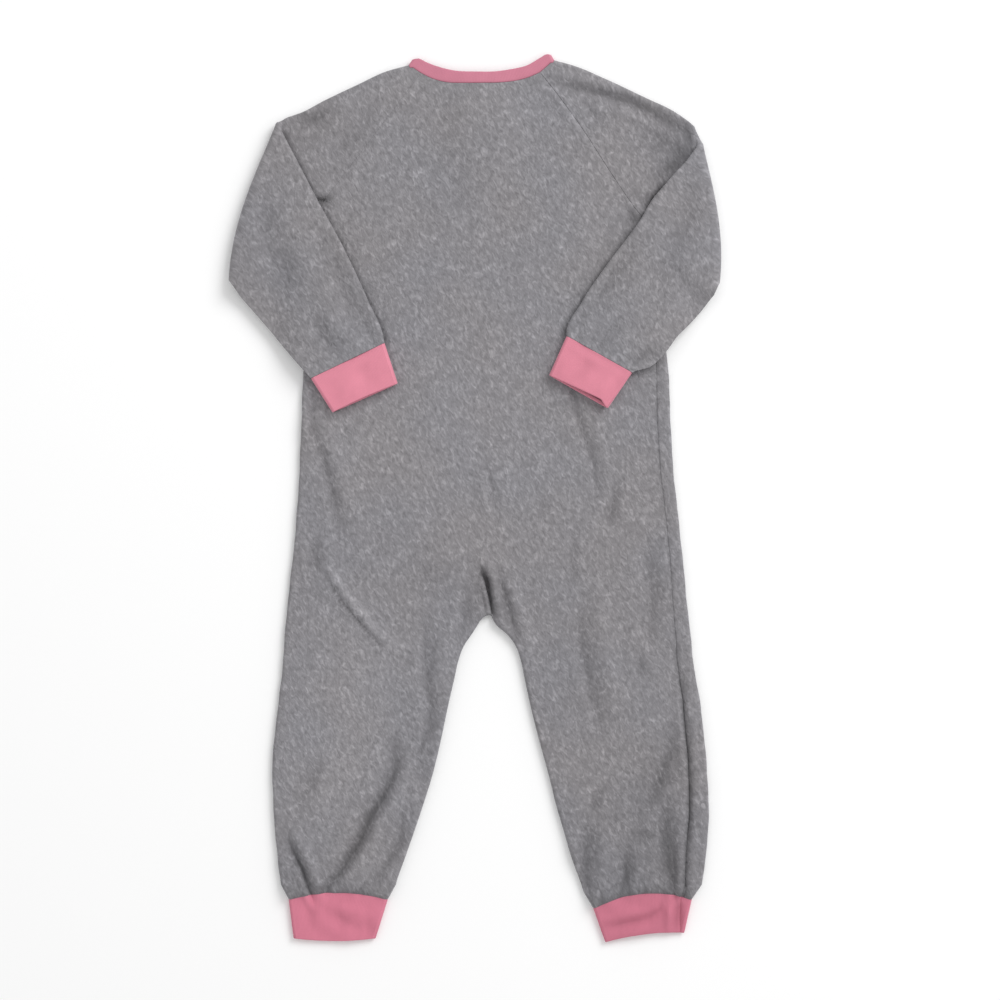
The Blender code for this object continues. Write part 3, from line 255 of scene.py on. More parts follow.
class ClothGrid:
    """Middle points, outward directions, half thickness and unrolled places of a piece."""

    def __init__(self, loops, columns, lay, unroll=None, upright=(), shade=None):
        def read(offset):
            rows = [loop.read(c + offset) for loop, c in zip(loops, columns)]
            return [np.array(part) for part in zip(*rows)]

        def laid(places):
            return lay(places.reshape(-1, 3)).reshape(places.shape)

        raw, cloth = read(0.0)
        self.points = laid(raw)
        self.shade = shade(raw, self.points) if shade else np.zeros(raw.shape[:2])
        across = laid(read(SMALL_STEP)[0]) - laid(read(-SMALL_STEP)[0])
        self.normals = unit(np.cross(across, np.gradient(self.points, axis=0)))
        for i in upright:
            here = loops[i].read(columns[i])[0]
            ahead = lay(here + SMALL_STEP * loops[i].level(columns[i])) - lay(here)
            side = unit(np.cross(ahead, (0.0, 0.0, 1.0)))
            kept = self.normals[i] - np.sum(self.normals[i] * side, axis=1, keepdims=True) * side
            self.normals[i] = unit(kept)
        self.cloth = unroll(cloth) if unroll else cloth
        self.half = np.full(self.points.shape[:2], WALL / 2)

    def ids(self):
        return np.arange(self.half.size).reshape(self.half.shape)

    def sheet(self):
        """All that the grid holds, listed point by point."""
        return [self.points.reshape(-1, 3), self.normals.reshape(-1, 3), self.half.ravel(),
                self.cloth.reshape(-1, 2), self.shade.ravel()]

    def face_out(self):
        """Turns the directions of a closed flat band outwards: up on top, down underneath."""
        height = self.points[..., 2] - self.points[..., 2].mean()
        if np.sum(height * self.normals[..., 2]) < 0:
            self.normals = -self.normals

    def edge_distance(self, edge):
        """Distance to one of the grid's four edges, along the cloth."""
        axis = 0 if edge in ("first_row", "last_row") else 1
        steps = np.linalg.norm(np.diff(self.points, axis=axis), axis=2)
        steps = steps if edge.startswith("first") else np.flip(steps, axis)
        start = np.zeros_like(np.take(steps, [0], axis))
        total = np.concatenate([start, np.cumsum(steps, axis)], axis)
        return total if edge.startswith("first") else np.flip(total, axis)

    def roll_edge(self, edge, least=SEAM_LEAST, width=RIM_WIDTH, rows=slice(None)):
        """Draws the two skins together at an edge; least and width may change along it."""
        share = rim_share(self.edge_distance(edge), least, width)
        self.half[rows] = np.minimum(self.half[rows], WALL / 2 * share[rows])

    def area(self):
        a = self.points[1:, 1:] - self.points[:-1, :-1]
        b = self.points[1:, :-1] - self.points[:-1, 1:]
        return float(np.linalg.norm(np.cross(a, b), axis=2).sum() / 2)


def grid_quads(ids):
    corners = [ids[:-1, :-1], ids[:-1, 1:], ids[1:, 1:], ids[1:, :-1]]
    return np.stack(corners, axis=-1).reshape(-1, 4)


def new_object(name, data):
    made = bpy.data.objects.new(name, data)
    bpy.context.scene.collection.objects.link(made)
    return made


def mark_points(mesh, title, values):
    """Gives every point of a mesh a number or a direction, which materials and trees can read."""
    kind, key = ("FLOAT_VECTOR", "vector") if values.ndim == 2 else ("FLOAT", "value")
    marks = mesh.attributes.new(title, kind, "POINT")
    marks.data.foreach_set(key, values.astype(np.float32).ravel())


def cloth_wall(name, sheet, quads, ribs=None):
    """One closed wall: the sheet moved out, the same moved in, and a rim along every open edge.
    ribs holds, for each point, its place counted in ribs and its share of the ribs' depth."""
    points, normals, half, cloth, shade = sheet
    count = len(points)
    thick = normals * half[:, None]
    places = np.concatenate([points + thick, points - thick])
    edges = np.concatenate([quads[:, [k, (k + 1) % 4]] for k in range(4)]).astype(np.int64)
    there = edges[:, 0] * count + edges[:, 1]
    back = edges[:, 1] * count + edges[:, 0]
    a, b = edges[~np.isin(there, back)].T
    rim = np.stack([b, a, a + count, b + count], axis=1)
    faces = np.concatenate([quads, quads[:, ::-1] + count, rim])
    v = places[faces]
    volume = sum(np.sum(v[:, 0] * np.cross(v[:, k], v[:, k + 1])) for k in (1, 2))
    faces = faces if volume > 0 else faces[:, ::-1]
    mesh = bpy.data.meshes.new(name)
    mesh.from_pydata(places.tolist(), [], faces.tolist())
    mesh.shade_smooth()
    layer = mesh.uv_layers.new(name="cloth")
    corners = np.zeros(len(mesh.loops), np.int32)
    mesh.loops.foreach_get("vertex_index", corners)
    uv = np.concatenate([cloth, cloth])[corners]
    layer.data.foreach_set("uv", uv.astype(np.float32).ravel())
    # painted shade and painted highlight, which the materials read
    if shade is not None:
        mark_points(mesh, "closed_pile", np.concatenate([shade, shade]))
    if ribs is not None:
        place, share = ribs
        mark_points(mesh, "rib", np.concatenate([place, place]))
        mark_points(mesh, "outward", np.concatenate([normals * share[:, None], 0 * normals]))
    print("%-20s %6d faces" % (name, len(faces)))
    return new_object(name, mesh)


def outward_quads(grid, ids):
    """The grid's quads, wound so that they face along its normals."""
    quads = grid_quads(ids)
    corner = grid.points.reshape(-1, 3)[quads]
    facing = np.cross(corner[:, 2] - corner[:, 0], corner[:, 3] - corner[:, 1])
    outwards = grid.normals.reshape(-1, 3)[quads[:, 0]]
    return quads if np.sum(facing * outwards) > 0 else quads[:, ::-1]


def dress(piece, node, finish, body="garment"):
    """Puts a finished sheet of cloth in its CAD node's place."""
    if finish:
        piece.data.materials.append(finish)
    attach(piece, body)
    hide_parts(node)


# %% [markdown]
# ## Outline of the body
# The body and legs are read at a few heights, in millimetres: where the folded sides are, where
# the legs' inner edges are, and how far the side seams lie from the folded edge. On this garment
# the right side seam has rolled round onto the back, and the left one has rolled underneath.

# %% Outline of the body
CENTRE_LINE = np.array([(-106.0, 13.3), (382.0, 5.5)]) * MM
BODY_SIDES = np.array([
    # y, left x, right x
    (-368.6, -171.4, 199.4),
    (-363.0, -175.6, 205.0),
    (-346.0, -179.6, 210.0),
    (-323.0, -182.6, 213.2),
    (-290.0, -185.2, 214.9),
    (-250.0, -186.4, 213.3),
    (-221.0, -184.6, 211.0),
    (-190.0, -181.0, 207.6),
    (-160.0, -177.8, 202.2),
    (-118.0, -174.4, 197.2),
    (-45.0, -166.6, 190.2),
    (25.0, -161.6, 182.4),
    (117.0, -158.0, 178.0),
    (254.0, -153.6, 165.0),
]) * MM
LEG_INSIDES = np.array([
    # y, left x, right x
    (-376.6, -80.4, 110.1),
    (-368.6, -80.2, 104.0),
    (-365.0, -76.4, 101.8),
    (-352.0, -72.3, 97.0),
    (-330.0, -64.4, 88.9),
    (-305.0, -55.6, 81.6),
    (-285.0, -48.9, 75.6),
    (-254.0, -39.2, 67.9),
    (-221.0, -31.3, 58.8),
    (-190.0, -24.8, 51.1),
    (-166.0, -19.3, 45.9),
    (-148.6, -15.3, 42.2),
    (-136.0, -10.6, 37.8),
    (-123.7, -2.4, 28.6),
    (-116.0, 2.6, 19.4),
    (-111.0, 5.6, 16.4),
    (-108.4, 8.8, 15.2),
    (-106.6, 11.6, 14.0),
]) * MM
SIDE_SEAMS = np.array([
    # y, how far the seam lies from the folded edge
    (-368.6, 10.6),
    (-355.0, 15.2),
    (-340.0, 18.0),
    (-277.0, 17.8),
    (-200.0, 16.4),
    (-130.0, 14.4),
    (-60.0, 12.2),
    (130.0, 10.6),
    (240.0, 0.0),
]) * MM
ANKLE_ENDS = {
    # outer and inner point of the seam line, its rise in the middle, and the same at the mouth
    "left": [(-171.4, -368.6), (-80.2, -368.6), 6.6, (-166.8, -404.6), (-91.6, -404.6), -2.4],
    "right": [(199.4, -368.8), (108.8, -376.8), 10.0, (192.4, -399.6), (120.0, -408.2), 3.2],
}
WOBBLE = {"left": (0.0, 1.9), "right": (2.6, 0.7)}
WOBBLE_HEIGHT = 0.16 * MM


def centre_x(y):
    return np.interp(y, CENTRE_LINE[:, 0], CENTRE_LINE[:, 1])


def edge_wobble(side, y):
    """Small unevenness of a folded edge, 0 at the seams' ends."""
    a, b = WOBBLE[side]
    waves = np.sin(y / (9.0 * MM) + a) + 0.8 * np.sin(y / (4.3 * MM) + b)
    waves += 1.2 * np.sin(y / (23.0 * MM) + b)
    calm = soft_step((y + 366 * MM) / (20 * MM)) * soft_step((240 * MM - y) / (20 * MM))
    return WOBBLE_HEIGHT * waves * calm


COLUMN = {"left": 1, "right": 2}


def body_x(side, y):
    return read_curve(BODY_SIDES[:, 0], BODY_SIDES[:, COLUMN[side]], y) + edge_wobble(side, y)


def leg_x(side, y):
    return read_curve(LEG_INSIDES[:, 0], LEG_INSIDES[:, COLUMN[side]], y)


def side_seam(side, y):
    """Distance along the loop to the side seam: positive over the top, negative underneath."""
    out = read_curve(SIDE_SEAMS[:, 0], SIDE_SEAMS[:, 1], y)
    return out if side == "right" else -out


print("width at the waist: %.0f mm" % ((body_x("right", 0.0) - body_x("left", 0.0)) / MM))

# %% [markdown]
# ## Creases
# A simulation would give creases, but not these ones. Each crease is listed instead: a line of a
# few points, how wide it is, how high, how much wider it is on the left of the line's direction,
# and how soft: 2 is a round trough or ridge, near 1 is a sharp crease. Puffed ridges beside a
# trough make it look deep, because the cloth below it leaves only 2 mm. All sizes are in
# millimetres.

# %% Creases of the back and legs
BACK_CREASES = [
    # points, half width, height, lean to the left of the line's direction, softness
    ([(4.5, -65), (9.4, -76), (13.0, -92), (16.0, -108)], 2.3, -6.0, 0.45, 2.0),
    ([(5.5, -67), (10.5, -75), (13.0, -84)], 3.2, -4.8, 0.2, 2.0),
    ([(20, -64), (24, -80), (29, -98), (34, -122)], 3.4, -2.0, 0.0, 1.4),
    ([(15, -66), (19, -84), (22, -100)], 3.0, 1.6, 0.0, 2.0),
    ([(0, -72), (4, -88), (6, -102)], 4.0, 1.6, 0.0, 2.0),
    ([(-150, 94), (-149, 65), (-141, 40), (-133, 15), (-127, -14), (-122, -40)],
     4.5, -1.9, 0.2, 1.3),
    ([(-139, 63), (-132, 37), (-124, 12), (-118, -16)], 9.0, 1.2, 0, 2.0),
    ([(-158, 81), (-152, 45), (-146, 8), (-144, -29)], 6.0, 1.4, 0, 2.0),
    ([(-146, -38), (-145, -53), (-143, -69)], 6.0, -1.6, 0, 1.6),
    ([(-135, -41), (-131, -55)], 8.0, 1.5, 0, 2.0),
    ([(-142, -50), (-134, -66), (-117, -91), (-102, -109), (-92, -122), (-72, -138)],
     3.8, 3.2, 0.0, 1.9),
    ([(-138, -68), (-121, -95), (-106, -113), (-95, -127), (-80, -139)], 1.5, -1.5, 0.0, 1.6),
    ([(-48, -110), (-45, -138), (-44, -167), (-40, -195), (-43, -217), (-50, -231), (-50, -252)],
     5.0, -1.9, 0.2, 1.4),
    ([(-58, -130), (-56, -167), (-54, -199), (-60, -222)], 9.0, 1.6, 0, 2.0),
    ([(-73, -222), (-71, -248), (-82, -272), (-94, -291), (-103, -311), (-114, -330), (-123, -345),
      (-139, -361)], 6.0, -3.6, -0.3, 1.6),
    ([(-96, -294), (-104, -312), (-114, -329), (-124, -345), (-140, -361)], 3.4, -3.4, 0.0, 1.4),
    ([(-91, -241), (-95, -268), (-109, -292), (-121, -312), (-132, -331), (-141, -344)],
     10.0, 2.4, 0, 2.0),
    ([(-67, -268), (-80, -294), (-91, -316), (-102, -336), (-111, -356)], 6.5, 2.2, 0, 2.0),
    ([(-65, -288), (-70, -319), (-82, -340), (-95, -355)], 5.0, -2, 0, 1.5),
    ([(-79, -340), (-84, -366)], 4.0, 1.4, 0, 2.0),
    ([(-173, -310), (-167, -326), (-159, -341), (-154, -355), (-148, -371)], 3.4, -4.2, 0.25, 1.2),
    ([(-164, -312), (-157, -329), (-151, -344), (-144, -360)], 5.0, 2.8, 0, 2.0),
    ([(-179, -323), (-172, -344), (-164, -362)], 5.0, 1.8, 0, 2.0),
    ([(-106, -363), (-102, -351)], 2.6, -1.2, 0, 1.5),
    ([(-133, -273), (-146, -277), (-155, -291)], 12.0, 1.6, 0, 2.0),
    ([(-144, -241), (-152, -268), (-161, -277)], 8.0, -1.2, 0, 2.0),
    ([(-120, -236), (-115, -268)], 12.0, 1.2, 0, 2.0),
    ([(25, -82), (31, -99), (35, -114), (38, -132)], 2.6, -1.7, 0.3, 1.3),
    ([(32, -79), (40, -99), (44, -119), (49, -139)], 4.5, 1.5, 0, 2.0),
    ([(96, -97), (98, -128), (101, -152), (107, -176), (112, -195), (117, -217)],
     6.5, -1.8, 0.2, 1.5),
    ([(114, -84), (119, -116), (123, -149), (128, -185)], 9.0, 1.8, 0, 2.0),
    ([(80, -93), (84, -139), (91, -185)], 10.0, 1, 0, 2.0),
    ([(161, -43), (165, -84), (162, -130)], 8.0, -1.4, 0, 2.0),
    ([(149, -139), (152, -152), (155, -167)], 4.0, -1.3, 0, 1.6),
    ([(174, -185), (172, -213), (165, -241), (152, -264)], 10.0, 1.8, 0, 2.0),
    ([(184, -208), (180, -233), (173, -256), (164, -275), (154, -292)], 8.5, -2.2, -0.1, 1.7),
    ([(176, -283), (176, -305), (178, -331), (182, -365)], 7.5, -3.2, -0.1, 1.7),
    ([(180, -318), (181, -340), (184, -368)], 2.6, -2.6, 0.0, 1.5),
    ([(188, -277), (188, -314), (190, -351)], 3.0, 1.4, 0, 2.0),
    ([(167, -291), (167, -323), (171, -356)], 7.0, 2.2, 0, 2.0),
    ([(207, -185), (211, -241), (209, -296), (204, -344)], 5.0, 1.2, 0, 2.0),
    ([(191, -156), (192, -193), (195, -222), (198, -259), (197, -296), (195, -323), (192, -366)],
     2.6, -2.4, 0, 1.3),
    ([(112, -273), (109, -288)], 5.0, -1.6, 0, 1.6),
    ([(106, -298), (104, -323), (102, -347), (106, -369)], 6.0, -2.4, 0, 1.6),
    ([(139, -323), (139, -345), (133, -369)], 4.6, -2.6, 0, 1.4),
    ([(148, -309), (167, -310)], 6.0, -1.4, 0, 1.6),
    ([(121, -305), (121, -338), (119, -366)], 8.0, 1.9, 0, 2.0),
    ([(152, -320), (153, -344), (152, -366)], 7.0, 1.7, 0, 2.0),
    ([(135, -250), (130, -268), (126, -282)], 14.0, 1.7, 0, 2.0),
    ([(88, 102), (93, 80), (101, 54), (108, 34), (112, 4)], 4.2, -1.8, 0.3, 1.3),
    ([(81, 94), (85, 69), (94, 39), (100, 12)], 7.0, 1, 0, 2.0),
    ([(131, 13), (127, -7), (123, -25)], 5.0, -1.6, 0, 1.5),
    ([(141, -1), (139, -38)], 9.0, 1, 0, 2.0),
    ([(9, 37), (15, 10), (21, -22)], 3.6, -1.1, 0, 1.6),
    ([(3, 30), (7, 2), (14, -25)], 6.0, 0.9, 0, 2.0),
    ([(63, 2), (63, -22)], 4.0, -0.9, 0, 1.6),
    ([(91, -33), (90, -77)], 5.0, -0.9, 0, 1.6),
    ([(17, 242), (15, 192), (13, 135)], 5.5, 0.5, 0, 2.0),
    ([(-6, -86), (-7, -104), (-11, -125)], 5.5, -1.6, 0, 1.6),
    ([(-25, -93), (-27, -130), (-29, -176)], 8.0, 1.3, 0, 2.0),
    ([(-51, -57), (-32, -84)], 14.0, -0.9, 0, 2.0),
]
print("creases of the back and legs:", len(BACK_CREASES))

# %% [markdown]
# ### Shoulders, folded sleeves and fronts
# The folded sleeves pull the shoulders into long folds, and their inner edges lie on the cloth
# below, with a painted shadow beside them. In a few patches the back is painted darker and
# lighter, as painted shade and painted light. The fronts lie flat underneath, so a few low waves
# do for them.

# %% Creases of the shoulders, the folded sleeves and the fronts
SHOULDER_CREASES = [
    ([(69, 385), (97, 377), (117, 372), (143, 365), (160, 356), (177, 347), (193, 337)],
     4.6, -2.5, -0.2, 1.6),
    ([(193, 342), (201, 326)], 5.5, -3.0, 0.0, 1.6),
    ([(78, 367), (115, 356), (144, 345), (163, 330)], 9.0, 0.6, 0.0, 2.0),
    ([(99, 367), (114, 346)], 3.6, -0.8, 0.0, 1.5),
    ([(196, 322), (180, 304), (166, 292)], 7.0, -2.3, 0.0, 1.6),
    ([(179, 289), (169, 280), (159, 269)], 3.6, -4.0, 0.0, 1.4),
    ([(141, 265), (146, 251)], 3.2, -2.6, 0.0, 1.4),
    ([(158, 288), (142, 275)], 5.0, 1.0, 0.0, 2.0),
    ([(55, 389), (75, 368), (90, 347), (104, 325), (119, 301)], 2.6, 1.3, 0.0, 1.5),
    ([(-147, 275), (-140, 274), (-132, 272)], 2.3, -3.8, 0.0, 1.3),
    ([(-141, 284), (-126, 282)], 5.0, 1.0, 0.0, 2.0),
    ([(-139, 262), (-122, 260)], 5.0, 0.9, 0.0, 2.0),
    ([(-165, 345), (-150, 346), (-133, 356)], 5.0, -1.5, 0.0, 1.6),
    ([(-69, 381), (-106, 363), (-143, 341)], 10.0, 0.9, 0.0, 2.0),
    ([(-87, 357), (-115, 330), (-133, 302)], 10.0, -0.7, 0.0, 2.0),
]
FLAP_CREASES = [
    ([(-196, 288), (-186, 236), (-164, 180)], 12.0, -0.8, 0.2, 2.0),
    ([(-176, 262), (-160, 216), (-138, 172)], 11.0, 1.2, 0.0, 2.0),
    ([(-142, 246), (-120, 196), (-100, 152)], 8.0, -1.0, 0.0, 2.0),
    ([(-146, 166), (-138, 148), (-126, 134)], 6.0, -1.8, 0.0, 1.6),
    ([(-128, 168), (-118, 150), (-112, 132)], 6.0, 1.2, 0.0, 2.0),
    ([(-104, 168), (-98, 152), (-92, 142)], 5.0, -1.0, 0.0, 2.0),
    ([(-206, 214), (-188, 226), (-168, 240)], 8.0, 0.9, 0.0, 2.0),
    ([(206, 300), (196, 250), (172, 190)], 12.0, -0.9, -0.2, 2.0),
    ([(176, 268), (158, 226), (134, 176)], 11.0, 1.3, 0.0, 2.0),
    ([(150, 240), (128, 204), (104, 166)], 8.0, -1.0, 0.0, 2.0),
    ([(132, 160), (122, 146), (114, 136)], 6.0, -1.1, 0.0, 2.0),
    ([(104, 172), (97, 158), (92, 148)], 5.0, -0.9, 0.0, 2.0),
    ([(168, 130), (158, 134), (143, 122)], 5.0, -1.4, 0.0, 1.6),
    ([(202, 204), (184, 214), (164, 224)], 8.0, 0.8, 0.0, 2.0),
]
FLAP_PAINTED_SHADOW = [
    # painted shadow beside the folded sleeves' inner edges, on the cloth below: points, half
    # width, darkness
    ([(-180, 345), (-165, 313), (-144, 273), (-123, 234), (-99, 183), (-87, 160), (-81, 143)],
     2.0, 0.75),
    ([(201, 321), (185, 300), (172, 285), (153, 257)], 4.0, 0.5),
    ([(153, 257), (121, 215), (99, 181), (84, 151)], 3.4, 0.5),
]
PAINTED_LIGHT_AND_SHADE_PATCHES = [
    # patches of painted shade where the amount is above 0, and painted light where it is below: x,
    # y, reach, amount
    (-108, -160, 62, -0.14), (-128, -262, 52, -0.16), (-140, 60, 60, -0.10), (0, 70, 110, -0.07),
    (150, -340, 56, 0.20), (165, -262, 34, 0.10), (182, 330, 24, 0.36), (-146, 348, 16, 0.20),
    (-115, -337, 28, -0.10),
]
FRONT_CREASES = [
    ([(-120, 60), (-98, -20), (-104, -90)], 12.0, 0.7, 0.0, 2.0),
    ([(-112, -130), (-104, -200), (-120, -290)], 10.0, 0.7, 0.2, 2.0),
    ([(100, 60), (118, -20), (112, -90)], 12.0, 0.6, 0.0, 2.0),
    ([(120, -140), (136, -220), (150, -320)], 10.0, 0.7, -0.2, 2.0),
    ([(-70, 190), (-40, 120), (-44, 60)], 12.0, 0.5, 0.0, 2.0),
    ([(66, 200), (54, 130), (60, 70)], 12.0, 0.5, 0.0, 2.0),
]
print("other creases:", len(SHOULDER_CREASES + FLAP_CREASES + FRONT_CREASES))

# %% [markdown]
# ### What a crease does
# Every point of the cloth looks up how far it is from each crease, and is moved up or down by it.
# A trough pushes up a low brim on both sides, and it never goes through the layer below. Troughs
# also get painted shade and sharp ridges a painted highlight, which is kept for the material.

# %% What a crease does
END_SHARE = 0.06  # how much of its first and last part a crease leaves out
BRIM = 0.62  # height of the brim, as a share of the trough's depth
BRIM_PLACE = 2.1  # how far out it is, in half widths
# painted shade of troughs and painted highlight of sharp ridges: the depth that gets darkest, the
# width, and the ridge height that gets lightest
PAINTED_SHADE_DROP = 4.0  # the depth that looks darkest, in millimetres
PAINTED_SHADE_WIDTH = 0.9
PAINTED_HIGHLIGHT_RISE = 8.0
FREE_DROP = 1.1 * MM  # down to here a trough is as deep as given
LAST_DROP = 0.85 * MM  # and below that it has only this much left
LAYER_FADE = 1.6
WAVE_HEIGHT = 0.16 * MM


def line_distance(x, y, points):
    """Distance from places to a line through points, on which side of it they are (1 is its left,
    -1 its right), and how far along it. Past an end, the side changes little by little."""
    p = np.array(points, float) * MM
    lengths = np.linalg.norm(np.diff(p, axis=0), axis=1)
    before = np.concatenate([[0.0], np.cumsum(lengths)])
    best = np.full(x.shape, 1e9)
    side = np.ones(x.shape)
    along = np.zeros(x.shape)
    for k in range(len(p) - 1):
        run = p[k + 1] - p[k]
        dx, dy = x - p[k, 0], y - p[k, 1]
        t = np.clip((dx * run[0] + dy * run[1]) / lengths[k] ** 2, 0.0, 1.0)
        off = np.hypot(dx - t * run[0], dy - t * run[1])
        nearer = off < best
        best = np.where(nearer, off, best)
        across = (run[0] * dy - run[1] * dx) / lengths[k]
        past_end = ((k == 0) & (t == 0)) | ((k == len(p) - 2) & (t == 1))
        here = np.where(past_end, across / np.maximum(off, 1e-9), np.sign(across))
        side = np.where(nearer, here, side)
        along = np.where(nearer, (before[k] + t * lengths[k]) / before[-1], along)
    return best, side, along


def crease_reach(x, y, points, half_width, lean):
    """Distance to a crease in its own half widths, and how full it is at that place in its run."""
    off, side, along = line_distance(x, y, points)
    fullness = np.sin(math.pi * (END_SHARE + (1 - 2 * END_SHARE) * along)) ** 0.7
    return off / (half_width * MM * (1 + lean * side)), fullness


def crease_rise(x, y, creases):
    rise = np.zeros(x.shape)
    for points, half_width, height, lean, softness in creases:
        off, fullness = crease_reach(x, y, points, half_width, lean)
        rise += height * MM * fullness * np.exp(-off ** softness)
        if height < 0:
            rise -= BRIM * height * MM * fullness * np.exp(-(off - BRIM_PLACE) ** 2)
    return rise


def crease_painted_shade(x, y, creases):
    """Painted shade, up to 1 deep in a crease, and a painted highlight below 0 on a sharp ridge."""
    depth, ridge = np.zeros(x.shape), np.zeros(x.shape)
    for points, half_width, height, lean, softness in creases:
        off, fullness = crease_reach(x, y, points, PAINTED_SHADE_WIDTH * half_width, lean)
        share = fullness * np.exp(-off ** softness)
        if height < 0:
            depth = np.maximum(depth, -height / PAINTED_SHADE_DROP * share)
        elif softness < 2:
            ridge = np.maximum(ridge, height / PAINTED_HIGHLIGHT_RISE * share)
    return np.clip(depth, 0.0, 1.0) - ridge


def painted_pile_shade(x, y, creases):
    """Painted shade and light: dark in creases, a painted shadow beside the folded sleeves, and
    patches painted darker and lighter.
    """
    shade = crease_painted_shade(x, y, creases)
    for points, half_width, darkness in FLAP_PAINTED_SHADOW:
        off = line_distance(x, y, points)[0] / (half_width * MM)
        shade = shade + (1 - shade) * darkness * np.exp(-off ** 1.5)
    for place_x, place_y, reach, amount in PAINTED_LIGHT_AND_SHADE_PATCHES:
        off = np.hypot(x - place_x * MM, y - place_y * MM) / (reach * MM)
        shade = shade + (1 - shade) * amount * np.exp(-off ** 2)
    return shade


def pressed(rise):
    """Troughs end softly just above the layer below."""
    over = np.minimum(rise + FREE_DROP, 0.0)
    return np.where(over < 0, -FREE_DROP - LAST_DROP * (1 - np.exp(over / LAST_DROP)), rise)


def layer_height(z):
    """1 on the flat of the upper layer, -1 on the lower one."""
    return (z - MIDDLE) / EDGE_RADIUS


def layer_share(over):
    """1 on the flat of a layer, fading to 0 partway round its edge; over is 1 on the flat."""
    return soft_step(over * LAYER_FADE - LAYER_FADE + 1)


def gentle_waves(x, y):
    """Unevenness of loosely laid cloth, a few tenths of a millimetre."""
    waves = np.sin(x / 0.011 + 1.3 * np.sin(y / 0.031)) * np.sin(y / 0.017 + 0.8)
    waves += 0.7 * np.sin(x / 0.023 - y / 0.019 + 2.0) + 0.4 * np.sin(x / 0.0061 + y / 0.0083)
    return WAVE_HEIGHT * waves


print("a trough is at most %.2f mm deep" % ((FREE_DROP + LAST_DROP) / MM))

# %% [markdown]
# ## How the body lies
# The zip slider is underneath and holds the cloth off the floor a little at the neck. Both layers
# rise over it and fall back. The same function lays the body, the neckband and the ankle cuffs, so
# they stay together.

# %% How the body lies
SLIDER_Y = 343.5 * MM
LIFT_Y = SLIDER_Y - 9.0 * MM
LIFT_ZIP = 2.2 * MM
LIFT_BACK = 4.4 * MM
LIFT_FLAT = (12.0 * MM, 20.0 * MM)
LIFT_FADE = 2.8
PINCH_REACH = 3.6 * MM
CROTCH = (13.3 * MM, -106.3 * MM)
STITCH_ROW = 7.6 * MM
STITCH_GROOVE = 0.45 * MM
GROOVE_WIDTH = 1.3 * MM
PINCH_DROP = EDGE_RADIUS - (WALL + 2 * SEAM_ROOM) / 2
PUFF_HEIGHT = 2.4 * MM
PUFF_REACH = 5.0 * MM
GATHER_HEIGHT = 0.55 * MM
SEAM_DROP = 1.8 * MM
SEAM_TROUGH_WIDTH = 1.9 * MM
# painted shade: a dark line at the right side seam, darker cloth above the ankles, and a limit to
# the painted highlight
SEAM_PAINTED_SHADE = 0.8
ANKLE_RIM_PAINTED_SHADE = 0.35
ANKLE_RIM_SHADE_REACH = 9.0 * MM
PAINTED_HIGHLIGHT_LIMIT = -0.6


def zip_lift(x, y):
    """Share of the lift over the slider and its pull tab."""
    off = np.hypot((x - centre_x(y)) / LIFT_FLAT[0], (y - LIFT_Y) / LIFT_FLAT[1])
    return 1.0 - soft_step((off - 1.0) / LIFT_FADE)


def seam_trough(x, y):
    """0 to 1 beside the right side seam, where the fleece dips to it, most of all down the leg."""
    seam_x = body_x("right", y) - WALL / 2 - (EDGE_RADIUS + side_seam("right", y) - QUARTER)
    down_leg = soft_step((-100 * MM - y) / (70 * MM))
    there = soft_step((190 * MM - y) / (50 * MM)) * (0.35 + 0.65 * down_leg)
    return there * np.exp(-np.abs((x - seam_x) / SEAM_TROUGH_WIDTH) ** 1.3)


def above_ankle(x, y):
    """How far a place lies above its leg's ankle seam."""
    best = np.full(x.shape, 1.0)
    for side, ends in ANKLE_ENDS.items():
        (x0, y0), (x1, y1), rise = np.array(ends[0]) * MM, np.array(ends[1]) * MM, ends[2] * MM
        t = (x - x0) / (x1 - x0)
        near = y - (y0 + t * (y1 - y0) + 4 * rise * t * (1 - t))
        best = np.where((x < CROTCH[0]) == (side == "left"), near, best)
    return best


def ankle_puff(x, y):
    """The fleece stands over the tighter rib: a puffed rim above the seam, with small gathers."""
    up = np.maximum(above_ankle(x, y), 0.0) / PUFF_REACH
    puff = PUFF_HEIGHT * up * np.exp(1 - up)
    fan = x + 0.12 * (y + 0.36) * np.sign(x - CROTCH[0])
    waves = np.sin(fan / 0.00125 + 1.6 * np.sin(fan / 0.0083)) + 0.6 * np.sin(fan / 0.0021 + 1.0)
    return puff + GATHER_HEIGHT * waves * soft_step(up) * np.exp(-up / 2.2)


def lay_body(points):
    """Lays the body's loops: creases, the lift over the slider, and the crotch drawn together."""
    x, y, z = np.asarray(points, float).reshape(-1, 3).T
    over = layer_height(z)
    rise = crease_rise(x, y, BACK_CREASES + SHOULDER_CREASES) + gentle_waves(x, y)
    rise = pressed(rise + ankle_puff(x, y) - SEAM_DROP * seam_trough(x, y)) * layer_share(over)
    groove = np.exp(-((np.abs(x - centre_x(y)) - STITCH_ROW) / GROOVE_WIDTH) ** 2)
    groove = groove * soft_step((y + 26 * MM) / (4 * MM))
    under = crease_rise(x, y, FRONT_CREASES) + STITCH_GROOVE * groove
    rise = rise + under * layer_share(-over)
    lift = zip_lift(x, y) * (LIFT_ZIP + (over + 1) / 2 * (LIFT_BACK - LIFT_ZIP))
    off = np.hypot(x - CROTCH[0], y - CROTCH[1])
    pinch = PINCH_DROP * np.exp(-(off / PINCH_REACH) ** 2) * np.clip(over, -1, 1)
    return np.stack([x, y, z + rise + lift - pinch], axis=-1).reshape(np.shape(points))


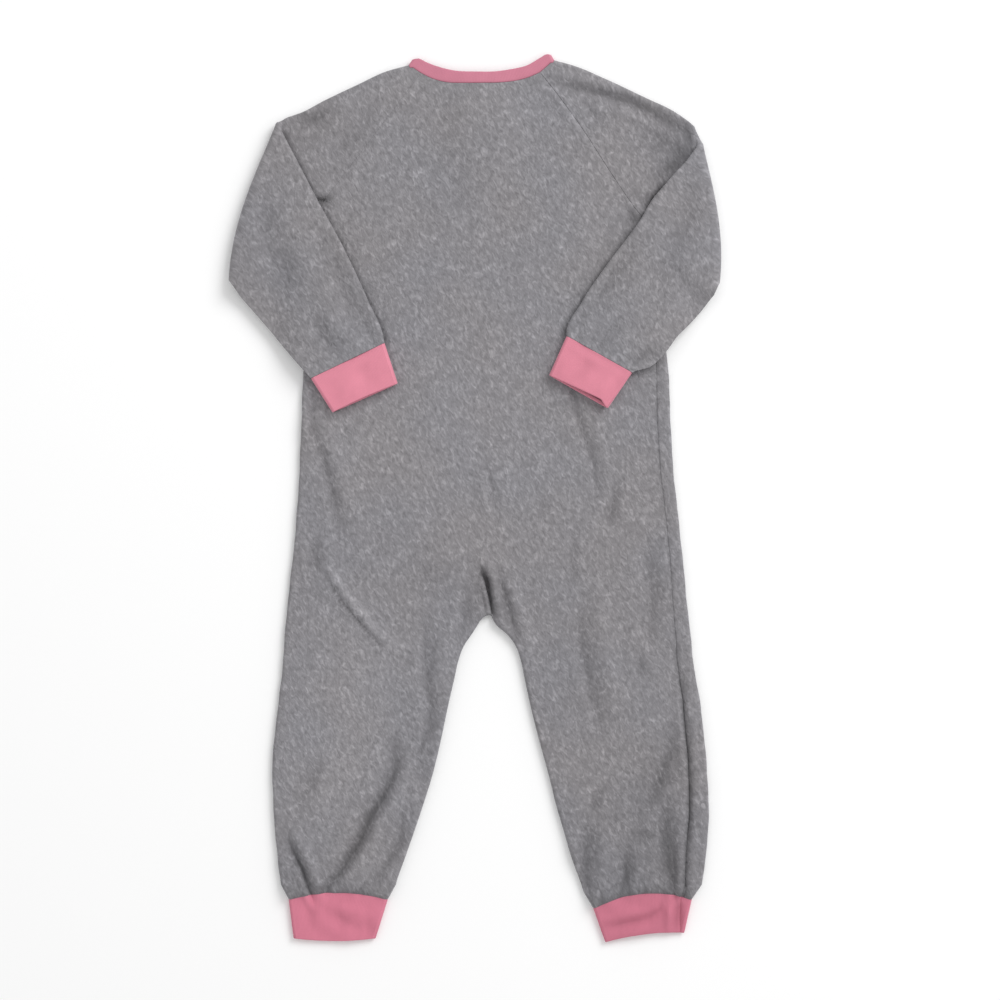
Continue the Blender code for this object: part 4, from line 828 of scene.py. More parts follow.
def body_painted_shade(raw, laid):
    """Painted shade on the upper layer: the creases, a dark line beside the side seam, and darker
    above the ankles.
    """
    x, y = laid[..., 0], laid[..., 1]
    shade = painted_pile_shade(x, y, BACK_CREASES + SHOULDER_CREASES)
    rim = np.exp(-np.maximum(above_ankle(x, y), 0.0) / ANKLE_RIM_SHADE_REACH)
    for more in (SEAM_PAINTED_SHADE * seam_trough(x, y), ANKLE_RIM_PAINTED_SHADE * rim):
        shade = shade + (1 - shade) * more
    return np.clip(shade, PAINTED_HIGHLIGHT_LIMIT, 1.0) * layer_share(layer_height(raw[..., 2]))


print("lift over the slider: %.1f mm at the back" % (LIFT_BACK / MM))

# %% [markdown]
# ## Raglan and neck seams
# A raglan sleeve runs up to the neck, so its seam is one long slant from the armpit. The lines are
# named per side, from the armpit or from the raglan's neck end onwards, for the back and the
# front.

# %% Raglan and neck seams
ZIP_HALF_GAP = 4.8 * MM
NECK_POINT = {"left": (-61.0, 398.6), "right": (72.7, 403.2)}
BAND_POINT = {"left": (-57.6, 403.2), "right": (70.0, 407.4)}
ARMPIT = {"left": (-153.0, 254.4), "right": (164.2, 245.2)}
RAGLAN_BACK = {
    "left": [(-120.0, 298.4), (-86.0, 343.0), (-49.7, 391.0)],
    "right": [(146.0, 268.4), (123.1, 302.0), (98.0, 340.6), (75.4, 371.5), (59.8, 391.5)],
}
RAGLAN_FRONT = {
    "left": [(-120.0, 294.2), (-56.1, 370.3)],
    "right": [(122.0, 300.0), (67.2, 371.2)],
}
NECK_BACK = {
    "left": [(-40.5, 386.4), (-26.7, 382.6), (-10.0, 381.6), (5.5, 381.6)],
    "right": [(51.1, 387.6), (41.4, 384.7), (24.0, 382.2), (5.5, 381.6)],
}
NECK_FRONT = {
    "left": [(-41.4, 354.7), (-18.4, 344.6), (6.0, 341.0)],
    "right": [(52.9, 354.9), (29.9, 344.8), (6.0, 341.0)],
}
NECK_END = {
    # a point on the sleeve's neck seam at the back, then at the front
    "left": [(-54.6, 394.2), (-59.4, 384.0)],
    "right": [(66.0, 397.0), (71.0, 386.0)],
}


def neckline(side, back):
    corner = (RAGLAN_BACK if back else RAGLAN_FRONT)[side][-1:]
    line = points_mm(corner, (NECK_BACK if back else NECK_FRONT)[side])
    line[-1] = (float(centre_x(line[-1][1])), line[-1][1])
    return spline(line)


def raglan(side, back):
    return spline(points_mm([ARMPIT[side]], (RAGLAN_BACK if back else RAGLAN_FRONT)[side]))


def neck_end(side, back):
    """The sleeve's short neck seam, from the raglan's neck end to the shoulder's folded edge."""
    corner = (RAGLAN_BACK if back else RAGLAN_FRONT)[side][-1:]
    line = spline(points_mm(corner, [NECK_END[side][0 if back else 1], NECK_POINT[side]]),
                  1.5 * MM)
    point = np.array(NECK_POINT[side]) * MM
    ahead = unit(np.array(NECK_POINT[side]) - np.mean(NECK_END[side], axis=0))
    last = (point - EDGE_DEPTH * ahead)[None, :]
    kept = line[np.linalg.norm(line - point, axis=1) > EDGE_DEPTH * 1.25]
    return np.concatenate([kept, last, point[None, :]])


print("right raglan: %.0f mm long" % (Line(raglan("right", True)).length / MM))

# %% [markdown]
# ## Rows and columns of half a body
# One half runs from the folded side to the centre line, and below the crotch to the leg's inner
# edge. Its first row lies on the raglan and neck seams. The next rows change little by little into
# straight ones. Rows and columns are close together beside the seams, where the cloth rolls in,
# and the corner between the raglan and the neck keeps a column of its own, so it stays crisp.

# %% Rows and columns of half a body
CHEST_Y = 112.0 * MM
CHEST_SHARES = np.concatenate([[0, 0.0005, 0.0015, 0.003, 0.005, 0.009, 0.014],
                               np.linspace(0.022, 1, 58)])
TORSO_ROWS = np.concatenate([np.linspace(112, -62, 54)[1:], np.linspace(-62, -106.3, 24)[1:]]) * MM
LEG_ROWS = np.concatenate([[-106.9, -107.6, -108.4, -109.6, -111.2, -113.2],
                           np.linspace(-115.4, -296, 72), np.linspace(-296, -355, 34)[1:]]) * MM
ANKLE_SHARES = np.concatenate([np.linspace(0.12, 0.88, 9), 1 - RIM[::-1] / (13.6 * MM)])
ANKLE_EASE_Y = -290.0 * MM
FLAT_ALONG = 6.0 * MM
RAGLAN_STEPS = 38
NECK_STEPS = 18
WRAP_PLACES = np.concatenate([[-13.0, -10.0, -7.0, -4.8, -3.3], np.linspace(-2.6, 3.3, 8)]) * MM
SEAM_PLACES = np.array([0.0, 0.1, 0.3, 0.6, 1.0, 1.5, 2.0, 2.5, 3.0, 3.6, 4.4]) * MM
INNER_PLACES = np.array([6.6, 5.8, 5.0, 4.3, 3.6, 2.9, 2.2, 1.6, 1.0, 0.6, 0.3, 0.1, 0.0]) * MM
ZIP_END_Y = -25.0 * MM
ZIP_CLOSE_LENGTH = 4.2 * MM


def arched(ends, rise, samples=24):
    """A line from one end to the other that rises in the middle."""
    a, b = np.array(ends[0]), np.array(ends[1])
    t = np.linspace(0.0, 1.0, samples + 1)[:, None]
    return Line(a + t * (b - a) + np.concatenate([0 * t, 4 * rise * t * (1 - t)], axis=1))


def ankle_line(outer, inner, rise, up):
    ends = [np.array(p) * MM + [0.0, up] for p in (outer, inner)]
    return arched(ends, rise * MM).trimmed(WALL / 2, WALL / 2)


def body_top_row(side, back):
    first = raglan(side, back)
    inward = SEAM_ROOM if side == "left" else -SEAM_ROOM
    upper = Line(shifted(joined(first, neckline(side, back)), inward))
    corner = upper.stations[len(first) - 1] - WALL / 2
    return upper.trimmed(WALL / 2, 0.0), corner


def half_loops(side, back):
    upper, corner = body_top_row(side, back)
    inward = 1.0 if side == "left" else -1.0

    def straight(y):
        return Line([(float(body_x(side, y)) + inward * WALL / 2, y), (float(centre_x(y)), y)])

    chest = straight(CHEST_Y)
    rows = [upper.blended(chest, t, corner=corner / upper.length) for t in CHEST_SHARES]
    rows += [straight(y) for y in TORSO_ROWS]
    loops = [Loop(row, far_edge=False) for row in rows]
    outer, inner, rise = ANKLE_ENDS[side][:3]
    for y in LEG_ROWS:
        near = float(soft_step((y - ANKLE_EASE_Y) / (outer[1] * MM - ANKLE_EASE_Y)))
        y_in = y + near * (inner[1] - outer[1]) * MM
        ends = [(float(body_x(side, y)) + inward * WALL / 2, y),
                (float(leg_x(side, y_in)) - inward * WALL / 2, y_in)]
        last = arched(ends, near * rise * MM)
        loops.append(Loop(last))
    ankle = ankle_line(outer, inner, rise, SEAM_ROOM)
    loops += [Loop(last.blended(ankle, t, 24)) for t in ANKLE_SHARES]
    return loops, corner


def zip_gap(y):
    """Half the gap between the fronts: open beside the zip, closed to a seam below it."""
    closed = soft_step((ZIP_END_Y - y) / ZIP_CLOSE_LENGTH)
    return ZIP_HALF_GAP + closed * (SEAM_ROOM - ZIP_HALF_GAP)


def half_columns(side, loops, corner_at, back):
    """Distances along each row, from the side seam to the centre or the leg's inner seam."""
    layer = 1 if back else -1
    made = []
    for k, loop in enumerate(loops):
        seam = layer * float(side_seam(side, loop.top.points[0][1])) + SEAM_ROOM
        if (side == "left") == back:
            least = seam + RIM[-1] + 0.25 * MM * np.arange(1, len(WRAP_PLACES) + 1)
            places = np.concatenate([seam + RIM, np.maximum(WRAP_PLACES, least)])
        else:
            places = seam + SEAM_PLACES
        start = np.append(places, max(FLAT_ALONG, places[-1] + 1.0 * MM))
        gap = 0.0 if back else float(zip_gap(loop.top.points[-1][1]))
        far = loop.far - (SEAM_ROOM if loop.far_edge else gap)
        last_flat = far - INNER_PLACES[0]
        if k == 0:
            place = corner_at - EDGE_RADIUS + QUARTER
            corner_share = (place - start[-1]) / (last_flat - start[-1])
        even_share = RAGLAN_STEPS / (RAGLAN_STEPS + NECK_STEPS)
        eased = float(soft_step(CHEST_SHARES[k])) if k < len(CHEST_SHARES) else 1.0
        share = corner_share + eased * (even_share - corner_share)
        corner = start[-1] + share * (last_flat - start[-1])
        made.append(layer * np.concatenate([start, even(start[-1], corner, RAGLAN_STEPS),
                                            even(corner, last_flat, NECK_STEPS),
                                            far - INNER_PLACES[1:]]))
    return made


CROTCH_ROW = len(CHEST_SHARES) + len(TORSO_ROWS) - 1
print("rows in a half:", len(CHEST_SHARES) + len(TORSO_ROWS) + len(LEG_ROWS) + len(ANKLE_SHARES))

# %% [markdown]
# ## The fleece
# Grey heather fleece is spun from light and dark fibres, so close up it is streaks of both, and
# from afar an even grey. The streaks are noise stretched along the brushed nap. The nap also
# scatters light at a low angle, which is what the shader's sheen is for. All patterns read the UV
# map "cloth", so they follow the cloth round its folds, and the fine bump is the brushed pile.

# %% The fleece
NAP_ANGLE = math.radians(-27.0)
FLECK_STRENGTH = 0.95
BRIGHT_FIBRES = 1.05
FLEECE_PAINTED_SHADE = 0.62
BRIGHT_LEVEL = 0.58
FLECK_SIZE = (3.0 * MM, 6.0 * MM)  # across the nap and along it
FIBRE_SIZE = (0.8 * MM, 3.2 * MM)
TUFT_SIZE = (13.0 * MM, 13.0 * MM)
REGION_SIZE = (95.0 * MM, 95.0 * MM)
FLEECE_BASE = (0.232, 0.224, 0.236, 1.0)
REGION_COLOURS = [(0.35, (0.2325, 0.2275, 0.2425, 1.0)), (0.65, (0.2385, 0.2285, 0.2375, 1.0))]
PILE_HEIGHT = 0.55 * MM


class Nodes:
    """Short ways to add nodes to a tree and to join them."""

    def __init__(self, tree):
        self.tree = tree

    def node(self, kind, inputs, settings):
        node = self.tree.nodes.new(kind)
        for key, value in settings.items():
            setattr(node, key, value)
        for key, value in (inputs or {}).items():
            if isinstance(value, bpy.types.NodeSocket):
                self.tree.links.new(value, node.inputs[key])
            else:
                node.inputs[key].default_value = value
        return node.outputs

    def math(self, operation, *values):
        settings = {"operation": operation}
        return self.node("ShaderNodeMath", dict(enumerate(values)), settings)["Value"]

    def scaled(self, vector, factor):
        inputs = {0: vector, "Scale": factor}
        return self.node("ShaderNodeVectorMath", inputs, {"operation": "SCALE"})["Vector"]


class Finish(Nodes):
    """A material with its shader."""

    def __init__(self, name, colour, **sockets):
        self.material = bpy.data.materials.new(name)
        self.material.use_nodes = True
        super().__init__(self.material.node_tree)
        self.shader = self.tree.nodes["Principled BSDF"].inputs
        self.colour = colour
        self.material.diffuse_color = colour
        for socket, value in {"Base Color": colour, **sockets}.items():
            self.shader[socket.replace("_", " ")].default_value = value

    def add(self, kind, inputs=None, **settings):
        return self.node("ShaderNode" + kind, inputs, settings)

    def feed(self, socket, value):
        self.tree.links.new(value, self.shader[socket])

    def cloth_uv(self, turn, size):
        """The cloth's own coordinates, turned, and counted in spots of a size across and along."""
        uv = self.add("UVMap", uv_map="cloth")["UV"]
        turned = self.add("Mapping", {"Vector": uv, "Rotation": (0.0, 0.0, turn)})["Vector"]
        scale = (1 / size[0], 1 / size[1], 1.0)
        return self.add("Mapping", {"Vector": turned, "Scale": scale})["Vector"]

    def noise(self, vector, detail, roughness, distortion=0.0, scale=1.0):
        inputs = {"Vector": vector, "Scale": scale, "Detail": detail, "Roughness": roughness,
                  "Distortion": distortion}
        return self.add("TexNoise", inputs)["Fac"]

    def cloth_noise(self, turn, size, detail=2.0, roughness=0.5, distortion=0.0):
        return self.noise(self.cloth_uv(turn, size), detail, roughness, distortion)

    def solid_noise(self, scale, detail=2.0, roughness=0.5):
        """Noise that fills space, as hard pieces need it."""
        return self.noise(self.add("TexCoord")["Object"], detail, roughness, scale=scale)

    def varied(self, noise, amount):
        """A tone that differs by this amount in all, evenly about 1."""
        return self.math("MULTIPLY_ADD", noise, amount, 1.0 - amount / 2)

    # painted shade: the colour darkens by the mesh's painted shade, and lightens where that is
    # below 0, as a painted highlight
    def closed_pile(self, shade):
        closed = self.add("Attribute", attribute_name="closed_pile")["Fac"]
        return self.math("MULTIPLY_ADD", closed, -shade, 1.0)

    def tint(self, tone, *others, colour=None):
        """Makes the finish's colour, or a given one, lighter and darker by one or more tones."""
        for other in others:
            tone = self.math("MULTIPLY", tone, other)
        self.feed("Base Color", self.scaled(colour or self.colour[:3], tone))

    def bump(self, height, distance, strength):
        inputs = {"Height": height, "Distance": distance, "Strength": strength}
        self.feed("Normal", self.add("Bump", inputs)["Normal"])


def make_fleece():
    made = Finish("grey_fleece_cloth", FLEECE_BASE, Roughness=0.95, Specular_IOR_Level=0.15,
                  Sheen_Weight=0.22, Sheen_Roughness=0.45, Sheen_Tint=(0.9, 0.9, 0.95, 1.0))
    flecks = made.cloth_noise(NAP_ANGLE, FLECK_SIZE, 1.5, 0.55, 0.7)
    fibres = made.cloth_noise(NAP_ANGLE, FIBRE_SIZE, 2.0, 0.6)
    tufts = made.cloth_noise(0.4, TUFT_SIZE, 2.0, 0.55)
    regions = made.cloth_noise(0.0, REGION_SIZE, 1.0)
    strength = made.math("MULTIPLY_ADD", tufts, 1.6, FLECK_STRENGTH - 0.8)
    tone = made.math("MULTIPLY_ADD", made.math("SUBTRACT", flecks, 0.5), strength, 1.0)
    bright = made.math("MAXIMUM", made.math("SUBTRACT", flecks, BRIGHT_LEVEL), 0.0)
    tone = made.math("ADD", tone, made.math("MULTIPLY", bright, BRIGHT_FIBRES))
    warm = made.add("ValToRGB", {"Fac": regions})["Color"]
    for stop, (position, colour) in zip(warm.node.color_ramp.elements, REGION_COLOURS):
        stop.position, stop.color = position, colour
    # the colour carries painted shade and painted highlight from the mesh
    made.tint(tone, made.varied(fibres, 0.62), made.varied(tufts, 0.34),
              made.closed_pile(FLEECE_PAINTED_SHADE), colour=warm)
    pile = made.math("MULTIPLY_ADD", flecks, 0.6, made.math("MULTIPLY", fibres, 0.5))
    made.bump(pile, PILE_HEIGHT, 0.8)
    return made.material


FLEECE = make_fleece()
print("fleece flecks: %.1f by %.1f mm" % tuple(size / MM for size in FLECK_SIZE))

# %% [markdown]
# ## The back
# The largest cut piece: both halves of the upper layer in one, split only below the crotch. On the
# left it wraps round the folded edge to the side seam underneath, on the right it stops short of
# the edge.

# %% The back
RAGLAN_LEAST = {"left": 0.93, "right": 0.36}
NECK_SEAM_LEAST = 0.7
CORNER_LEAST = 0.95
CORNER_REACH = (1.5 * MM, 8.5 * MM)
INNER_LEG_LEAST = 0.8
RAGLAN_ROLL = 1.1 * MM
SIDE_ROLL = 1.0 * MM


def raglan_least(side, points):
    """How thin the first row gets: the raglan rolls in, and the corners at the neck hold."""
    x, y = points[..., 0], points[..., 1]
    seams = [raglan(side, back) for back in (True, False)]
    least = np.full(x.shape, NECK_SEAM_LEAST)
    for seam in seams:
        off = line_distance(x, y, seam / MM)[0]
        least = np.where(off < 1.2 * MM, RAGLAN_LEAST[side], least)
    for seam in seams:
        off = np.hypot(x - seam[-1][0], y - seam[-1][1])
        far = soft_step((off - CORNER_REACH[0]) / (CORNER_REACH[1] - CORNER_REACH[0]))
        least = CORNER_LEAST + (least - CORNER_LEAST) * far
    return least


def side_least(y):
    """The side seam shows little at the hip and opens into a dark line down the leg."""
    return 0.5 - 0.3 * soft_step((-130 * MM - y) / (50 * MM))


def half_body(side, back):
    """Half of a layer and its quads, from the side seam to the centre and the leg's inner seam."""
    loops, corner = half_loops(side, back)
    columns = half_columns(side, loops, corner, back)
    grid = ClothGrid(loops, columns, lay_body, upright=(0, len(loops) - 1), shade=body_painted_shade)
    grid.roll_edge("first_row", raglan_least(side, grid.points[:1]), RAGLAN_ROLL)
    grid.roll_edge("last_row", BAND_LEAST)
    grid.roll_edge("first_column", side_least(grid.points[:, :1, 1]), SIDE_ROLL)
    sewn = slice(CROTCH_ROW + 1 if back else 0, None)
    grid.roll_edge("last_column", INNER_LEG_LEAST, rows=sewn)
    print("%s half of the %s: %.4f m2" % (side, "back" if back else "front", grid.area()))
    quads = grid_quads(grid.ids())
    if (side == "left") != back:
        grid.normals, quads = -grid.normals, quads[:, ::-1]
    return grid, quads


def make_back():
    left, left_quads = half_body("left", True)
    right, right_quads = half_body("right", True)
    numbers = right.ids() + left.half.size
    numbers[:CROTCH_ROW + 1, -1] = left.ids()[:CROTCH_ROW + 1, -1]
    quads = np.concatenate([left_quads, numbers.ravel()[right_quads]])
    used, quads_used = np.unique(quads, return_inverse=True)
    sheet = [np.concatenate(both)[used] for both in zip(left.sheet(), right.sheet())]
    return cloth_wall("back_cloth", sheet, quads_used.reshape(quads.shape))


dress(make_back(), "back", FLEECE)

# %% [markdown]
# ## The fronts
# The lower layer, in two pieces with the zip between them. They rest flat on the floor and show
# only from below, with the same cloth and only the seams that they must have.

# %% The fronts
for side in ("left", "right"):
    grid, quads = half_body(side, False)
    front = cloth_wall("front_%s_cloth" % side, grid.sheet(), quads)
    dress(front, "front_" + side, FLEECE)

# %% [markdown]
# ## The folded sleeves
# Each sleeve is first made straight, as a flat tube from the raglan seam, and then turned over
# along its fold line onto the back. Straight coordinates are the distance past the fold and the
# distance down it, so turning over is a half circle around the fold's axis. Past the fold the
# sleeve sags where neither the body nor its own lower half carries it.

# %% The folded sleeves
FOLD_AIR = 0.7 * MM
FOLD_HEIGHT = STACK + FOLD_AIR
FOLD_REACH = math.pi * (EDGE_RADIUS + FOLD_AIR)
FOLD_BULGE = {"left": 7.0 * MM, "right": 6.0 * MM}
BULGE_LEAN = {"left": 1.35, "right": 1.24}
BULGE_SPREAD = 45.0 * MM
FOLD_ENDS = {
    # how far past the fold line's ends the sleeve's edges lie, before, at and after the fold
    "left": {"upper": (-6.4, -1.5, 6.0), "lower": (5.0, 0.5, 5.2)},
    "right": {"upper": (-21.0, -5.0, 0.0), "lower": (8.0, -1.5, 9.5)},
}
FLAP_CALM = 12.0 * MM
SAG_DEPTH = 5.0 * MM
SAG_START = 4.0 * MM
SAG_LENGTH = 26.0 * MM
SHOULDER = {
    "left": [(-84.0, 392.0), (-105.4, 381.8), (-138.8, 365.8), (-158.4, 355.4), (-172.6, 350.4)],
    "right": [(91.4, 398.0), (120.0, 386.0), (155.6, 369.2), (183.2, 355.8), (196.0, 347.0)],
}
FOLD_LINE = {
    "left": [(-182.6, 345.4), (-226.2, 201.2)],
    "right": [(210.2, 322.5), (224.8, 196.6)],
}
FLAP_INNER = {
    "left": [(-165.0, 313.3), (-143.9, 272.8), (-122.7, 234.1), (-98.6, 182.6), (-83.2, 144.4)],
    "right": [(200.2, 318.0), (196.0, 312.0), (184.9, 300.0), (172.0, 285.3), (162.8, 274.2),
              (153.0, 257.5), (121.4, 214.8), (98.6, 181.1), (84.0, 150.6)],
}
FLAP_LOWER = {
    "left": [(-214.6, 184.6), (-192.3, 159.2), (-158.6, 119.4), (-151.4, 111.4)],
    "right": [(216.2, 183.2), (207.0, 171.2), (196.0, 159.3), (184.9, 148.2), (177.0, 137.0),
              (160.0, 120.5), (145.2, 116.0)],
}
CUFF_LINES = {
    # upper line from the flap's lower edge to its inner edge, then the same at the mouth
    "left": [[(-150.4, 110.2), (-83.0, 142.6)], [(-130.6, 78.8), (-70.8, 105.4)]],
    "right": [[(144.2, 115.4), (84.2, 149.0)], [(121.8, 82.6), (68.0, 113.0)]],
}
UPPER_SHARES = np.concatenate([[0, 0.001, 0.003, 0.006, 0.01, 0.018, 0.03],
                               np.linspace(0.05, 1, 52)])
BEND_ROWS = 18
LOWER_SHARES = np.concatenate([np.linspace(0, 0.985, 84)[1:], 1 - RIM[::-1] / (190 * MM)])
SLEEVE_RAGLAN_STEPS = 64
SLEEVE_NECK_STEPS = 12
UNDERARM_LEAST = 0.82
BULGE_PASSES = 12


def flap_sag(side, x, y):
    """How far the folded sleeve drops where nothing carries it."""
    beyond_body = body_x(side, y) - x if side == "left" else x - body_x(side, y)
    pit = np.array(ARMPIT[side]) * MM
    run = unit(np.array(FOLD_LINE[side][1]) * MM - pit)
    below = abs(run[0]) * (pit[1] - y) + run[1] * np.abs(x - pit[0])
    return SAG_DEPTH * soft_step((np.minimum(beyond_body, below) - SAG_START) / SAG_LENGTH)


class SleeveFold:
    def __init__(self, side):
        start, end = (np.array(p) * MM for p in FOLD_LINE[side])
        self.side = side
        self.length = np.linalg.norm(end - start)
        self.down = (end - start) / self.length
        turn = 1.0 if side == "left" else -1.0
        self.out = turn * np.array([self.down[1], -self.down[0]])
        self.start = start - FOLD_HEIGHT * self.out

    def bulge(self, down, out):
        """How far the folded edge curves outwards."""
        t = np.clip(down / self.length, 0.0, 1.0) ** BULGE_LEAN[self.side]
        return 4 * FOLD_BULGE[self.side] * t * (1 - t) * soft_step(out / BULGE_SPREAD + 1.0)

    def edge(self, end, turn):
        """Where the sleeve's upper or lower edge crosses the fold, from turn 0 to half a turn."""
        before, at, after = (step * MM for step in FOLD_ENDS[self.side][end])
        past = at + (1 - math.sin(turn)) * ((before if turn < math.pi / 2 else after) - at)
        start = self.length if end == "lower" else 0.0
        return np.array([FOLD_REACH * turn / math.pi, start + past])

    def flat(self, places, turned):
        """Where places on the lying sleeve are when the sleeve is straight."""
        off = np.asarray(places, float) - self.start
        down, reach = off @ self.down, off @ self.out
        if turned:
            return np.stack([FOLD_REACH - reach + self.bulge(down, 0.0), down], axis=-1)
        out = reach
        for _ in range(BULGE_PASSES):
            out = reach - self.bulge(down, out)
        return np.stack([out, down], axis=-1)

    def lay(self, points):
        out, down, z = np.asarray(points, float).reshape(-1, 3).T
        turn = math.pi * np.clip(out / FOLD_REACH, 0.0, 1.0)
        radius = FOLD_HEIGHT - z
        reach = np.minimum(out, 0.0) + radius * np.sin(turn) - np.maximum(out - FOLD_REACH, 0.0)
        height = FOLD_HEIGHT - radius * np.cos(turn)
        reach = reach + self.bulge(down, out)
        x, y = (self.start + down[:, None] * self.down + reach[:, None] * self.out).T
        over = layer_height(z)
        upper = pressed(crease_rise(x, y, SHOULDER_CREASES) + gentle_waves(x, y))
        upper = upper * layer_share(over) * soft_step(-out / FLAP_CALM)
        height = height + np.where(out <= 0, upper, 0.0)
        flap = pressed(crease_rise(x, y, FLAP_CREASES) + gentle_waves(y, x))
        flap = flap * layer_share(-over) * soft_step((out - FOLD_REACH) / FLAP_CALM)
        flap = flap - flap_sag(self.side, x, y)
        height = height + np.where(out >= FOLD_REACH, flap, 0.0)
        return np.stack([x, y, height], axis=-1).reshape(np.shape(points))

    def shade(self, raw, laid):
        # painted shade and light on the shoulders and on the folded sleeve
        out, x, y = raw[..., 0], laid[..., 0], laid[..., 1]
        over = layer_height(raw[..., 2])
        upper = painted_pile_shade(x, y, SHOULDER_CREASES) * layer_share(over)
        flap = crease_painted_shade(x, y, FLAP_CREASES) * layer_share(-over)
        before = soft_step(-out / (0.3 * FLAP_CALM))
        past = soft_step((out - FOLD_REACH) / FLAP_CALM)
        return np.clip(upper * before + flap * past, PAINTED_HIGHLIGHT_LIMIT, 1.0)

    def unroll(self, cloth):
        """Straight cloth coordinates turned to the room's directions, so the nap runs one way."""
        out, down = cloth[..., 0], cloth[..., 1]
        reach = np.minimum(out, FOLD_REACH - out)
        return self.start + down[..., None] * self.down + reach[..., None] * self.out


def inset_pair(ends, samples=12):
    a, b = np.array(ends[0], float), np.array(ends[1], float)
    along = unit(b - a) * WALL / 2
    t = np.linspace(0.0, 1.0, samples + 1)[:, None]
    return a + along + t * (b - a - 2 * along)


def carried(line, start, straight, share, corner, samples=240):
    """A row on its way from the raglan to a straight one: it keeps a falling part of its bow."""
    t = np.unique(np.append(np.linspace(0.0, 1.0, samples + 1), corner / line.length))
    bow = line.place(t * line.length) - start.place(t * start.length)
    return Line(straight.place(t * straight.length) + (1 - share) * bow)


def sleeve_loops(side):
    fold = SleeveFold(side)
    outward = -SEAM_ROOM if side == "left" else SEAM_ROOM
    first, corners = [], []
    for back in (True, False):
        seam = raglan(side, back)
        line = Line(fold.flat(shifted(joined(seam, neck_end(side, back)), outward), False))
        corners.append(line.stations[len(seam) - 1] - WALL / 2)
        first.append(line.trimmed(WALL / 2, WALL / 2))
    upper_fold, lower_fold = fold.edge("upper", 0.0), fold.edge("lower", 0.0)
    shoulder = fold.flat(spline(points_mm([NECK_POINT[side]], SHOULDER[side])), False)
    shoulder = Line(np.concatenate([shoulder, [upper_fold]]))
    under = Line([fold.flat(points_mm([ARMPIT[side]])[0], False), lower_fold])
    start = Line(inset_pair([under.place(0.0), shoulder.place(0.0)]))
    loops = []
    for t in UPPER_SHARES:
        straight = Line(inset_pair([line.place(t * line.length) for line in (under, shoulder)]))
        rows = [carried(line, start, straight, t, at) for line, at in zip(first, corners)]
        loops.append(Loop(*rows))
    for k in range(1, BEND_ROWS + 1):
        ends = [fold.edge(end, math.pi * k / BEND_ROWS) for end in ("lower", "upper")]
        loops.append(Loop(Line(inset_pair(ends))))
    turned = []
    for line, start, end in ((FLAP_LOWER, ends[0], 0), (FLAP_INNER, ends[1], 1)):
        lying = spline(points_mm(line[side], [CUFF_LINES[side][0][end]]), 4.0 * MM)
        turned.append(Line(np.concatenate([[start], fold.flat(lying, True)])))
    for t in LOWER_SHARES:
        loops.append(Loop(Line(inset_pair([line.place(t * line.length) for line in turned]))))
    return fold, loops, corners


def split(start, end, corner_share):
    corner = start + corner_share * (end - start)
    return np.concatenate([even(start, corner, SLEEVE_RAGLAN_STEPS),
                           even(corner, end, SLEEVE_NECK_STEPS)])


def sleeve_columns(loop, shares):
    """Distances all round a sleeve, from one side of the underarm seam to the other."""
    near = SEAM_ROOM + np.concatenate([SEAM_PLACES, [FLAT_ALONG - SEAM_ROOM]])
    top_end = QUARTER + loop.flat
    whole = top_end + 3 * QUARTER + loop.under.length - 2 * EDGE_RADIUS
    upper = split(near[-1], top_end, shares[0])
    around = top_end + QUARTER * np.arange(1, 9) / 4
    lower = split(whole - near[-1], top_end + 2 * QUARTER, shares[1])
    return np.concatenate([near, upper, around, lower[-2::-1], whole - near[::-1]])


def make_sleeve(side):
    fold, loops, corners = sleeve_loops(side)
    flat_place = FLAT_ALONG + EDGE_RADIUS - QUARTER
    shares = [(at - flat_place) / (line.length - EDGE_RADIUS - flat_place)
              for at, line in zip(corners, (loops[0].top, loops[0].under))]
    columns = [sleeve_columns(loop, shares) for loop in loops]
    grid = ClothGrid(loops, columns, fold.lay, fold.unroll, (0, len(loops) - 1), fold.shade)
    grid.roll_edge("first_row", raglan_least(side, grid.points[:1]), RAGLAN_ROLL)
    grid.roll_edge("last_row")
    grid.roll_edge("first_column", UNDERARM_LEAST)
    grid.roll_edge("last_column", UNDERARM_LEAST)
    print("sleeve, %s: %.4f m2" % (side, grid.area()))
    return cloth_wall("sleeve_%s_cloth" % side, grid.sheet(), outward_quads(grid, grid.ids()))


for side in ("left", "right"):
    dress(make_sleeve(side), "sleeve_" + side, FLEECE)

# %% [markdown]
# ## Geometry Nodes for what repeats
# Ribs, coil teeth and stitches repeat by a rule, so each is a small Geometry Nodes tree. A tree
# gets its sizes through named inputs. Its result is turned into a plain mesh at once, so the
# finished piece has no live modifier and can be exported as it is.

# %% Geometry Nodes for what repeats
NODE_KINDS = {float: "NodeSocketFloat", int: "NodeSocketInt",
              bpy.types.Material: "NodeSocketMaterial"}


